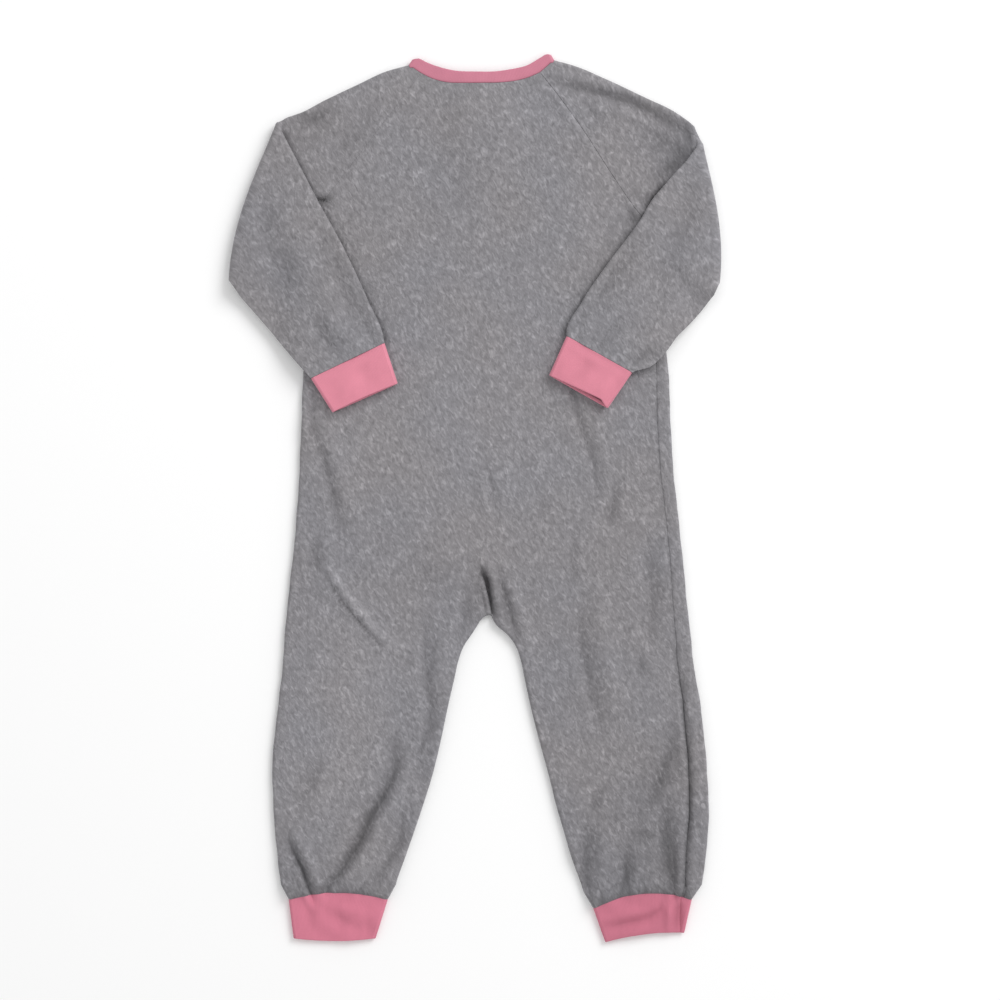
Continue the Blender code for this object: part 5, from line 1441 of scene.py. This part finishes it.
class Tree(Nodes):
    """A Geometry Nodes tree with named inputs."""

    def __init__(self, name, **inputs):
        super().__init__(bpy.data.node_groups.new(name, "GeometryNodeTree"))
        sockets = self.tree.interface
        sockets.new_socket("Geometry", in_out="INPUT", socket_type="NodeSocketGeometry")
        for title, value in inputs.items():
            kind = next(kind for plain, kind in NODE_KINDS.items() if isinstance(value, plain))
            socket = sockets.new_socket(title.replace("_", " "), in_out="INPUT", socket_type=kind)
            socket.default_value = value
        sockets.new_socket("Geometry", in_out="OUTPUT", socket_type="NodeSocketGeometry")
        self.given = self.tree.nodes.new("NodeGroupInput").outputs
        self.result = self.tree.nodes.new("NodeGroupOutput").inputs["Geometry"]

    def add(self, kind, inputs=None, **settings):
        return self.node("GeometryNode" + kind, inputs, settings)

    def vector(self, x=0.0, y=0.0, z=0.0):
        return self.node("ShaderNodeCombineXYZ", {"X": x, "Y": y, "Z": z}, {})["Vector"]

    def close(self, geometry):
        real = self.add("RealizeInstances", {"Geometry": geometry})["Geometry"]
        done = self.add("SetMaterial", {"Geometry": real, "Material": self.given["Material"]})
        self.tree.links.new(done["Geometry"], self.result)
        return self.tree


def grown(piece, tree, **values):
    """The piece with what the tree makes of it as its plain mesh."""
    modifier = piece.modifiers.new(tree.name, "NODES")
    modifier.node_group = tree
    for socket in tree.interface.items_tree:
        if socket.item_type == "SOCKET" and socket.name.replace(" ", "_") in values:
            modifier[socket.identifier] = values[socket.name.replace(" ", "_")]
    graph = bpy.context.evaluated_depsgraph_get()
    made = bpy.data.meshes.new_from_object(piece.evaluated_get(graph),
                                           preserve_all_data_layers=True, depsgraph=graph)
    plain = piece.data
    piece.modifiers.clear()
    piece.data = made
    bpy.data.meshes.remove(plain)
    made.name = piece.name
    print("%-20s %6d faces from %s" % (piece.name, len(made.polygons), tree.name))
    return piece


print("node kinds:", ", ".join(NODE_KINDS.values()))

# %% [markdown]
# ## The rib
# Cuffs and neckband are rib knit, folded double: fine upright ribs about 1.4 mm apart. A tree
# pushes the outer skin in and out along the ribs, four columns to a rib, because the ribs give the
# bands their edge and their highlights. Where a band lies on the floor its ribs are pressed flat.
# The stitches within a rib are far finer and stay in the material. The ankle cuffs and the
# neckband are darker copies of the colour, as painted shade.

# %% The rib
RIB_PITCH = 1.4 * MM
RIB_DEPTH = 0.11 * MM
RIB_PAINTED_SHADE = 0.6
# the cuff colour is the rib's own; the ankle and neck colours are darker copies of it, as painted
# shade
RIB_COLOURS_WITH_PAINTED_SHADE = {"cuff": (0.685, 0.246, 0.320, 1.0), "ankle": (0.602, 0.194, 0.268, 1.0),
               "neck": (0.552, 0.206, 0.276, 1.0)}
KNIT_SIZE = (0.7 * MM, 0.9 * MM)
KNIT_HEIGHT = 0.14 * MM
WORN_SIZE = (12.0 * MM, 16.0 * MM)


def make_rib(name, colour):
    made = Finish("pink_rib_" + name, colour, Roughness=0.88, Specular_IOR_Level=0.2,
                  Sheen_Weight=0.55, Sheen_Roughness=0.3, Sheen_Tint=(0.97, 0.84, 0.89, 1.0))
    knit = made.cloth_noise(0.0, KNIT_SIZE, 2.0, 0.6)
    worn = made.cloth_noise(0.3, WORN_SIZE)
    # the colour carries painted shade and painted highlight from the mesh
    made.tint(made.varied(knit, 0.24), made.varied(worn, 0.16), made.closed_pile(RIB_PAINTED_SHADE))
    made.bump(knit, KNIT_HEIGHT, 0.7)
    return made.material


RIBS = {name: make_rib(name, colour) for name, colour in RIB_COLOURS_WITH_PAINTED_SHADE.items()}
print("rib finishes:", ", ".join(RIBS))

# %% [markdown]
# ### Ribs that stand out of the band
# Each point of a band knows its place, counted in ribs, and the way out. The tree moves it along
# that way by a cosine of its place, so that no rib has to be modelled.

# %% Ribs that stand out of the band
PRESSED_SHARE = 0.85

tree = Tree("rib_knit", Rib_Depth=RIB_DEPTH, Material=RIBS["cuff"])
place = tree.add("InputNamedAttribute", {"Name": "rib"}, data_type="FLOAT")["Attribute"]
outward = tree.add("InputNamedAttribute", {"Name": "outward"},
                   data_type="FLOAT_VECTOR")["Attribute"]
wave = tree.math("COSINE", tree.math("MULTIPLY", place, 2 * math.pi))
push = tree.scaled(outward, tree.math("MULTIPLY", wave, tree.given["Rib Depth"]))
moved = tree.add("SetPosition", {"Geometry": tree.given["Geometry"], "Offset": push})["Geometry"]
RIB_TREE = tree.close(moved)


def ribs_in(length):
    return 4 * max(1, int(round(length / RIB_PITCH)))


def rib_cloth(grid, depths):
    """Cloth coordinates of a band: round it in ribs' widths, and its rows' depths."""
    around = np.arange(grid.half.shape[1]) * RIB_PITCH / 4
    return np.stack(np.meshgrid(around, depths), axis=-1)


def rib_places(normals, half, lying):
    """Each point's place in ribs, and its share of their depth: little where it is pressed."""
    rows, count = half.shape
    places = np.tile(np.arange(count) / 4, (rows, 1))
    share = half / (WALL / 2)
    if lying:
        share = share * (1 - PRESSED_SHARE * soft_step((-normals[..., 2] - 0.5) / 0.4))
    return places.ravel(), share.ravel()


print("a 90 mm cuff has about %d ribs all round" % (2 * ribs_in(0.09) / 4))

# %% [markdown]
# ## Cuffs and ankle cuffs
# Each is a closed flat tube with a folded mouth. The seam end rolls in against the fleece, and the
# mouth is a full round fold. The right sleeve cuff's mouth stands a little open: its upper layer
# is drawn back at one corner, so the lower one shows past it. Ankle cuffs lie on the floor and
# sleeve cuffs on the back, turned over.

# %% Cuffs and ankle cuffs
CUFF_SHARES = np.concatenate([[0, 0.003, 0.009, 0.017, 0.029, 0.06], np.linspace(0.1, 0.9, 13),
                              [0.94, 0.971, 0.983, 0.991, 0.997, 1.0]])
CUFF_MOUTH_HOLLOW = {"left": 0.9 * MM, "right": 4.8 * MM}
CUFF_CREASES = {
    "left": [([(-128, 118), (-112, 96)], 9.0, 0.9, 0.0, 2.0),
             ([(-104, 126), (-92, 104)], 10.0, -0.9, 0.0, 2.0),
             ([(-146, 112), (-128, 120), (-104, 132), (-86, 141)], 3.5, -1.0, 0.0, 1.6)],
    "right": [([(104, 128), (92, 104)], 9.0, -1.1, 0.0, 2.0),
              ([(124, 116), (110, 96)], 8.0, 1.0, 0.0, 2.0),
              ([(142, 116), (116, 130), (88, 146)], 3.5, -1.0, 0.0, 1.6),
              ([(134, 108), (128, 92)], 5.0, -0.9, 0.0, 2.0)],
}
ANKLE_CREASES = {
    "left": [([(-120, -372), (-116, -402)], 6.0, 1.2, 0.0, 2.0),
             ([(-134, -380), (-104, -396)], 6.0, -1.8, 0.0, 1.6),
             ([(-98, -384), (-96, -404)], 6.0, -1.0, 0.0, 2.0),
             ([(-152, -372), (-148, -398)], 5.0, -0.8, 0.0, 2.0)],
    "right": [([(179, -362), (178, -398)], 3.0, 1.7, 0.0, 2.0),
              ([(187, -364), (185, -398)], 4.4, -2.0, 0.0, 1.5),
              ([(174, -364), (170, -378), (160, -385), (140, -390), (116, -394)],
               4.0, -1.9, 0.2, 1.4),
              ([(150, -376), (130, -382)], 8.0, 1.1, 0.0, 2.0),
              ([(160, -394), (140, -400)], 6.0, 0.9, 0.0, 2.0)],
}
CUFF_OPEN = {"left": 1.3 * MM, "right": 3.4 * MM}
ANKLE_SLOPE = 1.4 * MM
# painted light and shade of the sleeve cuffs: the left one a little lighter, the right one darker,
# painted shade in the creases and a painted shadow inside the open mouth
CUFF_PAINTED_LIGHT_SHADE = {"left": -0.03, "right": 0.08}
CUFF_CREASE_PAINTED_SHADE = 0.3
CUFF_MOUTH_PAINTED_SHADOW = 1.3
# painted light and shade of the ankle cuffs: the left one lighter, the right one darker, and
# painted shade in the creases
ANKLE_PAINTED_LIGHT_SHADE = {"left": -0.11, "right": 0.10}
ANKLE_CREASE_PAINTED_SHADE = 0.6
CUFF_DEPTH = 36.0 * MM
EDGE_STEPS = 8


def closed_columns(loop, steps):
    """Distances all round a closed band; steps has one count for each flat and each edge."""
    top_end = QUARTER + loop.flat
    under = loop.under.length - 2 * EDGE_RADIUS
    stops = [-QUARTER, QUARTER, top_end, top_end + 2 * QUARTER, top_end + 2 * QUARTER + under]
    parts = [np.linspace(a, b, n, endpoint=False) for a, b, n in zip(stops, stops[1:], steps)]
    return np.concatenate(parts)


def closed_band(name, loops, lay, rib, lying, shade):
    flats = [ribs_in(line.length) for line in (loops[0].top, loops[0].under)]
    steps = [EDGE_STEPS, flats[0], EDGE_STEPS, flats[1]]
    columns = [closed_columns(loop, steps) for loop in loops]
    grid = ClothGrid(loops, columns, lay, upright=(0, len(loops) - 1), shade=shade)
    grid.face_out()
    grid.roll_edge("first_row", BAND_LEAST)
    grid.roll_edge("last_row", FOLD_LEAST, FOLD_ROLL)
    print("%s: %.4f m2" % (name, grid.area()))
    grid.cloth = rib_cloth(grid, CUFF_SHARES * CUFF_DEPTH)
    ids = grid.ids()
    quads = outward_quads(grid, np.concatenate([ids, ids[:, :1]], axis=1))
    made = cloth_wall(name, grid.sheet(), quads, rib_places(grid.normals, grid.half, lying))
    return grown(made, RIB_TREE, Rib_Depth=RIB_DEPTH, Material=rib)


def drawn_back(side, share):
    """How far the upper layer's mouth is drawn back, along the mouth from the outer corner."""
    if side == "left":
        return np.sin(math.pi * share)
    return soft_step(share / 0.18) * (1 - share)


def make_cuff(side):
    upper, mouth = ([np.array(p) * MM for p in line] for line in CUFF_LINES[side])
    gap = unit(mouth[0] - upper[0]) * 2 * SEAM_ROOM
    start = [upper[0] + gap, upper[1] + gap]
    loops = []
    hollow = unit(mouth[0] - upper[0]) * CUFF_MOUTH_HOLLOW[side]
    for t in CUFF_SHARES:
        shown = inset_pair([(1 - t) * start[m] + t * mouth[m] for m in (0, 1)], 48)
        back = drawn_back(side, np.linspace(0.0, 1.0, len(shown)))[:, None]
        loops.append(Loop(Line(shown), Line(shown - t ** 3 * hollow * back)))
    across = unit(upper[1] - upper[0])
    width = np.linalg.norm(upper[1] - upper[0])
    depth = np.linalg.norm(mouth[0] - upper[0])

    def read(x, y):
        """How far down the cuff a place is, from 0 to 1, and how far from its two edges."""
        along = (x - upper[0][0]) * across[0] + (y - upper[0][1]) * across[1]
        down = (x - upper[0][0]) * gap[0] + (y - upper[0][1]) * gap[1]
        return down / np.linalg.norm(gap) / depth, np.clip(along / width, 0.0, 1.0)

    def shade(raw, laid):
        """Painted shade: dark in the creases, and a painted shadow inside the mouth, where the
        lower layer looks out under the upper one.
        """
        down, share = read(laid[..., 0], laid[..., 1])
        over = layer_height(raw[..., 2])
        back = drawn_back(side, share)
        # painted shadow on the lower layer, just inside the upper layer's open mouth
        past = down - 1 + CUFF_MOUTH_HOLLOW[side] * back / depth
        inside = soft_step((past + 0.08) / 0.03) * soft_step((0.05 - past) / 0.03)
        inside = CUFF_MOUTH_PAINTED_SHADOW * inside * soft_step(back * 4)
        creased = CUFF_CREASE_PAINTED_SHADE * crease_painted_shade(laid[..., 0], laid[..., 1], CUFF_CREASES[side])
        return (CUFF_PAINTED_LIGHT_SHADE[side] + creased) * layer_share(-over) + inside * layer_share(over)

    def lay(points):
        x, y, z = np.asarray(points, float).reshape(-1, 3).T
        over = layer_share(-layer_height(z))
        down, share = read(x, y)
        rise = pressed(crease_rise(x, y, CUFF_CREASES[side])) * soft_step(down * 4)
        rise = rise + CUFF_OPEN[side] * np.sin(math.pi * share ** 0.8) * soft_step(down) ** 2
        laid = np.stack([x, y, 2 * FOLD_HEIGHT - z + rise * over], axis=-1)
        return laid.reshape(np.shape(points))

    return closed_band("cuff_%s_rib" % side, loops, lay, RIBS["cuff"], False, shade)


def make_ankle_cuff(side):
    outer, inner, rise, mouth_outer, mouth_inner, mouth_rise = ANKLE_ENDS[side]
    top = ankle_line(outer, inner, rise, -SEAM_ROOM)
    mouth = ankle_line(mouth_outer, mouth_inner, mouth_rise, 0.0)
    loops = [Loop(top.blended(mouth, t, 24)) for t in CUFF_SHARES]

    def lay(points):
        laid = lay_body(points)
        flat = laid.reshape(-1, 3)
        x, y, z = np.asarray(points, float).reshape(-1, 3).T
        over = layer_share(layer_height(z))
        down = np.clip((outer[1] * MM - y) / CUFF_DEPTH, 0.0, 1.0)
        flat[:, 2] += pressed(crease_rise(x, y, ANKLE_CREASES[side])) * over * soft_step(down * 3)
        flat[:, 2] -= ANKLE_SLOPE * over * down
        return flat.reshape(np.shape(points))

    def shade(raw, laid):
        # painted shade in the creases, and the ankle cuff's painted tone: lighter on the left,
        # darker on the right
        creased = crease_painted_shade(laid[..., 0], laid[..., 1], ANKLE_CREASES[side])
        dark = ANKLE_PAINTED_LIGHT_SHADE[side] + ANKLE_CREASE_PAINTED_SHADE * creased
        return dark * layer_share(layer_height(raw[..., 2]))

    return closed_band("ankle_cuff_%s_rib" % side, loops, lay, RIBS["ankle"], True, shade)


for side in ("left", "right"):
    dress(make_cuff(side), "cuff_" + side, None)
    dress(make_ankle_cuff(side), "ankle_cuff_" + side, None)

# %% [markdown]
# ## The neckband
# A strip of the same rib, folded double and sewn round the neck from one side of the zip to the
# other. Its free edge is the fold, so it is fully rounded. The columns follow the strip and the
# ribs cross it.

# %% The neckband
BAND_BACK = [(-52.4, 404.6), (-45.1, 401.3), (-31.3, 396.3), (-17.0, 393.2), (1.8, 392.4),
             (18.4, 392.6), (33.1, 394.7), (47.8, 398.2), (60.7, 405.6), (66.4, 408.6)]
BAND_FRONT = {
    "left": [(-51.6, 388.0), (-46.8, 374.6), (-35.0, 362.6), (-15.4, 354.6), (6.0, 351.8)],
    "right": [(63.6, 390.0), (58.2, 375.6), (46.8, 363.4), (27.0, 354.8), (6.0, 351.8)],
}
BAND_SHARES = np.array([0, 0.01, 0.03, 0.06, 0.1, 0.2, 0.35, 0.5, 0.65, 0.8, 0.9, 0.94, 0.97,
                        0.99, 1.0])
BAND_DEPTH = 11.0 * MM
NECKBAND_LEAST = 0.75
# painted shade along the neckband's sewn edge
BAND_SEAM_PAINTED_SHADE = 0.8
BAND_SEAM_REACH = 0.7 * MM


def band_lines(share, samples=260):
    seam_back = joined(neck_end("left", True)[::-1], neckline("left", True),
                       neckline("right", True)[::-1], neck_end("right", True))
    free_back = spline(points_mm([BAND_POINT["left"]], BAND_BACK, [BAND_POINT["right"]]))
    fronts = []
    for side in ("left", "right"):
        line = points_mm([BAND_POINT[side]], BAND_FRONT[side])
        line[-1] = (float(centre_x(line[-1][1])), line[-1][1])
        fronts.append((joined(neck_end(side, False)[::-1], neckline(side, False)), spline(line)))
    seam_front = joined(fronts[0][0], fronts[1][0][::-1])
    free_front = joined(fronts[0][1], fronts[1][1][::-1])
    lines = []
    for seam, free in ((seam_back, free_back), (seam_front, free_front)):
        sewn = Line(shifted(seam, -SEAM_ROOM)).trimmed(WALL / 2, WALL / 2)
        lines.append(sewn.blended(Line(free).trimmed(WALL / 2, WALL / 2), share, samples))
    return lines


def make_neckband():
    loops, columns = [], []
    steps = None
    for share in BAND_SHARES:
        loop = Loop(*band_lines(share))
        front = loop.under
        middle = float(centre_x(front.points[len(front.points) // 2][1]))
        beside = [middle - ZIP_HALF_GAP, middle + ZIP_HALF_GAP]
        left, right = np.interp(beside, front.points[:, 0], front.stations)
        start = EDGE_RADIUS - QUARTER - left
        top_end = QUARTER + loop.flat
        end = loop.far + QUARTER + front.length - right - EDGE_RADIUS
        stops = [start, -QUARTER, QUARTER, top_end, top_end + 2 * QUARTER, end]
        if steps is None:
            steps = [ribs_in(stops[1] - stops[0]), 2 * EDGE_STEPS, ribs_in(loop.flat),
                     2 * EDGE_STEPS, ribs_in(stops[5] - stops[4])]
        parts = [even(a, b, n) for a, b, n in zip(stops, stops[1:], steps)]
        loops.append(loop)
        columns.append(np.concatenate([[start]] + parts))
    grid = ClothGrid(loops, columns, lay_body, upright=(0, len(loops) - 1))
    grid.face_out()
    grid.roll_edge("first_row", NECKBAND_LEAST)
    grid.roll_edge("last_row", FOLD_LEAST, FOLD_ROLL)
    grid.roll_edge("first_column")
    grid.roll_edge("last_column")
    print("neckband: %.4f m2" % grid.area())
    grid.cloth = rib_cloth(grid, BAND_SHARES * BAND_DEPTH)
    # painted shade: a dark line along the sewn edge, fading away from it
    grid.shade = BAND_SEAM_PAINTED_SHADE * np.exp(-grid.edge_distance("first_row") / BAND_SEAM_REACH)
    made = cloth_wall("neckband_rib", grid.sheet(), outward_quads(grid, grid.ids()),
                      rib_places(grid.normals, grid.half, True))
    return grown(made, RIB_TREE, Rib_Depth=RIB_DEPTH, Material=RIBS["neck"])


dress(make_neckband(), "neckband", None)

# %% [markdown]
# ## Zip tapes
# The zip is a closed coil between two woven tapes, which are sewn behind the fronts' edges. It
# lies underneath, so it shows only from below. Each tape is a thin strip with a fine twill.

# %% Zip tapes
ZIP_TOP = 350.5 * MM
ZIP_BOTTOM = -24.0 * MM
ZIP_MIDDLE = 3.0 * MM
TAPE_WIDTH = 12.0 * MM
TAPE_THICKNESS = 0.6 * MM
TAPE_END = 14.0 * MM
COIL_WIDTH = 5.0 * MM
COIL_GAP = 0.3 * MM
TWILL_SIZE = (0.55 * MM, 0.55 * MM)
YARN_SIZE = (0.3 * MM, 1.2 * MM)
TAPE_COLOUR = (0.50, 0.17, 0.24, 1.0)


def zip_place(across, y):
    """A place in the zip's own thin layer, lifted where the slider holds it up."""
    x = centre_x(y) + across
    return np.stack([x, y + 0 * x, ZIP_MIDDLE + zip_lift(x, y) * LIFT_ZIP], axis=-1)


def make_tape_cloth():
    made = Finish("woven_zip_tape", TAPE_COLOUR, Roughness=0.75, Specular_IOR_Level=0.25,
                  Sheen_Weight=0.15, Sheen_Roughness=0.4)
    uv = made.cloth_uv(math.radians(32.0), TWILL_SIZE)
    across = made.add("SeparateXYZ", {"Vector": uv})["X"]
    twill = made.math("SINE", made.math("MULTIPLY", across, 2 * math.pi))
    yarns = made.cloth_noise(0.0, YARN_SIZE, 2.0, 0.6)
    made.tint(made.math("MULTIPLY_ADD", twill, 0.10, 1.0), made.varied(yarns, 0.24))
    made.bump(twill, 0.06 * MM, 0.7)
    return made.material


def make_tape(side):
    turn = -1.0 if side == "left" else 1.0
    across = turn * (COIL_WIDTH / 2 + COIL_GAP + np.linspace(0.0, TAPE_WIDTH, 15))
    y = np.linspace(ZIP_TOP, ZIP_BOTTOM - TAPE_END, 220)
    points = zip_place(*np.meshgrid(across, y))
    normals = unit(np.cross(np.gradient(points, axis=1), np.gradient(points, axis=0)))
    edge = np.minimum(np.abs(across - across[0]), np.abs(across - across[-1]))
    half = np.tile(TAPE_THICKNESS / 2 * rim_share(edge, 0.5, 0.5 * MM), (len(y), 1)).ravel()
    cloth = np.stack(np.meshgrid(across, y), axis=-1).reshape(-1, 2)
    sheet = [points.reshape(-1, 3), normals.reshape(-1, 3), half, cloth, None]
    quads = grid_quads(np.arange(half.size).reshape(len(y), len(across)))
    return cloth_wall("zip_tape_%s_woven" % side, sheet, quads)


TAPE_CLOTH = make_tape_cloth()
for side in ("left", "right"):
    dress(make_tape(side), "zip_tape_" + side, TAPE_CLOTH)

# %% [markdown]
# ## Coil teeth
# The coil's teeth are loops of nylon that reach in from both sides in turn. So a tree sets one
# loop after the other along the zip's middle line, and turns every second one round.

# %% Coil teeth
COIL_TOP = 345.6 * MM
COIL_PITCH = 1.25 * MM
COIL_WIRE = 0.3 * MM
TOOTH_REACH = 1.15 * MM
TOOTH_HEIGHT = 0.68 * MM
TOOTH_OVERLAP = 0.1 * MM


def make_nylon():
    made = Finish("coil_nylon", (0.58, 0.24, 0.31, 1.0), Roughness=0.42, Specular_IOR_Level=0.45)
    cloudy = made.solid_noise(900.0)
    made.tint(made.varied(cloudy, 0.3))
    made.feed("Roughness", made.math("MULTIPLY_ADD", cloudy, 0.25, 0.3))
    return made.material


NYLON = make_nylon()
tree = Tree("coil_teeth", Pitch=COIL_PITCH, Wire=COIL_WIRE, Reach=TOOTH_REACH, Height=TOOTH_HEIGHT,
            Material=NYLON)
middle = tree.add("MeshToCurve", {"Mesh": tree.given["Geometry"]})["Curve"]
half_pitch = tree.math("MULTIPLY", tree.given["Pitch"], 0.5)
steps = tree.add("CurveToPoints", {"Curve": middle, "Length": half_pitch}, mode="LENGTH")["Points"]
ring = tree.add("CurvePrimitiveCircle", {"Resolution": 10, "Radius": 1.0}, mode="RADIUS")["Curve"]
size = tree.vector(tree.given["Reach"], tree.given["Height"], 1.0)
offset = tree.vector(x=tree.math("SUBTRACT", tree.given["Reach"], TOOTH_OVERLAP))
loop = tree.add("Transform", {"Geometry": ring, "Scale": size, "Translation": offset,
                              "Rotation": (math.pi / 2, 0.0, 0.0)})["Geometry"]
wire = tree.add("CurvePrimitiveCircle", {"Resolution": 5, "Radius": tree.given["Wire"]},
                mode="RADIUS")["Curve"]
tooth = tree.add("CurveToMesh", {"Curve": loop, "Profile Curve": wire})["Mesh"]
tooth = tree.add("SetShadeSmooth", {"Geometry": tooth})["Geometry"]
number = tree.add("InputIndex")["Index"]
facing = tree.vector(z=tree.math("MULTIPLY", tree.math("MODULO", number, 2.0), math.pi))
teeth = tree.add("InstanceOnPoints", {"Points": steps, "Instance": tooth, "Rotation": facing})
COIL_TREE = tree.close(teeth["Instances"])


def thread_line(name, points):
    """An object of one open line, for a tree to follow."""
    mesh = bpy.data.meshes.new(name)
    edges = [(k, k + 1) for k in range(len(points) - 1)]
    mesh.from_pydata(points.tolist(), edges, [])
    return new_object(name, mesh)


coil_y = np.linspace(ZIP_BOTTOM + COIL_WIRE, COIL_TOP - COIL_WIRE, 200)
coil_line = thread_line("zip_coil_teeth", zip_place(0.0, coil_y))
coil = grown(coil_line, COIL_TREE, Pitch=COIL_PITCH, Material=NYLON)
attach(coil, "garment")
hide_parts("zip_chain")

# %% [markdown]
# ## Stitches beside the zip
# One row of topstitching on each front holds the tape and keeps the edge flat. The thread pulls
# the fleece in, so it lies in a shallow groove. A stitch is a short, thin loop of thread, and the
# tree repeats it along the row.

# %% Stitches beside the zip
STITCH_LENGTH = 2.8 * MM
STITCH_SHARE = 0.42  # half of a stitch's length that shows
STITCH_SINK = 0.05 * MM
THREAD_RADIUS = 0.27 * MM


def make_thread():
    made = Finish("grey_thread", (0.36, 0.35, 0.37, 1.0), Roughness=0.6, Specular_IOR_Level=0.3,
                  Sheen_Weight=0.3)
    made.tint(made.varied(made.solid_noise(1800.0), 0.5))
    return made.material


THREAD = make_thread()
tree = Tree("topstitches", Stitch_Length=STITCH_LENGTH, Thread=THREAD_RADIUS, Material=THREAD)
row = tree.add("MeshToCurve", {"Mesh": tree.given["Geometry"]})["Curve"]
step = tree.given["Stitch Length"]
points = tree.add("CurveToPoints", {"Curve": row, "Length": step}, mode="LENGTH")
bead = tree.add("MeshUVSphere", {"Segments": 8, "Rings": 5, "Radius": 1.0})["Mesh"]
long = tree.math("MULTIPLY", step, STITCH_SHARE)
size = tree.vector(tree.given["Thread"], tree.given["Thread"], long)
stitch = tree.add("Transform", {"Geometry": bead, "Scale": size})["Geometry"]
stitch = tree.add("SetShadeSmooth", {"Geometry": stitch})["Geometry"]
row = tree.add("InstanceOnPoints", {"Points": points["Points"], "Instance": stitch,
                                    "Rotation": points["Rotation"]})
STITCH_TREE = tree.close(row["Instances"])

for side, turn in (("left", -1.0), ("right", 1.0)):
    row_y = np.linspace(ZIP_BOTTOM + 2 * MM, ZIP_TOP - 14 * MM, 160)
    row_x = centre_x(row_y) + turn * STITCH_ROW
    flat = np.stack([row_x, row_y, np.full(row_y.shape, MIDDLE - EDGE_RADIUS)], axis=1)
    row_z = lay_body(flat)[:, 2] - WALL / 2 + STITCH_SINK
    row_line = thread_line("zip_stitches_" + side, np.stack([row_x, row_y, row_z], axis=1))
    stitches = grown(row_line, STITCH_TREE, Stitch_Length=STITCH_LENGTH, Material=THREAD)
    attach(stitches, "garment")

# %% [markdown]
# ## Slider and pull
# Both are cast metal with a thin coat of paint. Their CAD shapes are right, so they stay and only
# get the paint: a little uneven in gloss, with small scuffs where the metal is handled.

# %% Slider and pull
SCUFF_LEVEL = 0.60


def make_paint():
    made = Finish("scuffed_paint", (0.60, 0.26, 0.34, 1.0), Roughness=0.35, Specular_IOR_Level=0.5,
                  Coat_Weight=0.3, Coat_Roughness=0.2)
    clouds = made.solid_noise(420.0, 3.0)
    scuffs = made.solid_noise(1500.0, 4.0, 0.7)
    worn = made.math("MAXIMUM", made.math("SUBTRACT", scuffs, SCUFF_LEVEL), 0.0)
    made.tint(made.math("ADD", made.varied(clouds, 0.16), made.math("MULTIPLY", worn, 3.0)))
    made.feed("Roughness", made.math("MULTIPLY_ADD", clouds, 0.3, 0.22))
    made.bump(scuffs, 0.03 * MM, 0.5)
    return made.material


PAINT = make_paint()
for node in ("zip_slider", "zip_pull"):
    for slot in frame["nodes"][node].material_slots:
        slot.material = PAINT
    print("painted:", node)

# %% [markdown]
# ## Floor, light and camera
# The garment is seen from straight above on a plain pale floor, in soft light: a bright even room,
# and a large lamp from the upper right, far enough away that one end is not brighter than the
# other.

# %% Floor, light and camera
VIEW_CENTRE = (0.023, -0.0014)
VIEW_WIDTH = 0.92
CAMERA_HEIGHT = 2.6
SENSOR_WIDTH = 36.0
FLOOR_HALF = 4.0
FLOOR_LEVEL = -0.4 * MM
ROOM_LIGHT = 0.76
LAMP_PLACE = (2.3, 2.3, 2.5)
LAMP_SIZE = 2.4
LAMP_POWER = 95.5


def make_floor():
    mesh = bpy.data.meshes.new("floor")
    corners = [(FLOOR_HALF * x, FLOOR_HALF * y, FLOOR_LEVEL)
               for x, y in ((-1, -1), (1, -1), (1, 1), (-1, 1))]
    mesh.from_pydata(corners, [], [(0, 1, 2, 3)])
    finish = Finish("pale_floor", (0.95, 0.95, 0.95, 1.0), Roughness=0.9, Specular_IOR_Level=0.1)
    mesh.materials.append(finish.material)
    new_object("floor", mesh)


def make_lamp():
    """A round lamp that looks at the garment's middle."""
    lamp = bpy.data.lights.new("key_lamp", "AREA")
    lamp.shape = "DISK"
    lamp.size = LAMP_SIZE
    lamp.energy = LAMP_POWER
    x, y, z = LAMP_PLACE
    hung = new_object("key_lamp", lamp)
    hung.location = LAMP_PLACE
    hung.rotation_euler = (math.acos(z / np.linalg.norm(LAMP_PLACE)), 0.0, math.atan2(x, -y))


make_floor()
make_lamp()
world = bpy.data.worlds.new("soft_room")
world.use_nodes = True
room = world.node_tree.nodes["Background"].inputs
room["Color"].default_value = (1.0, 1.0, 1.0, 1.0)
room["Strength"].default_value = ROOM_LIGHT
bpy.context.scene.world = world

camera_data = bpy.data.cameras.new("camera")
camera_data.sensor_width = SENSOR_WIDTH
camera_data.lens = SENSOR_WIDTH * (CAMERA_HEIGHT - MIDDLE) / VIEW_WIDTH
camera = new_object("camera", camera_data)
camera.location = (*VIEW_CENTRE, CAMERA_HEIGHT)
bpy.context.scene.camera = camera
bpy.context.scene.view_settings.view_transform = "Standard"
print("lens: %.1f mm" % camera_data.lens)
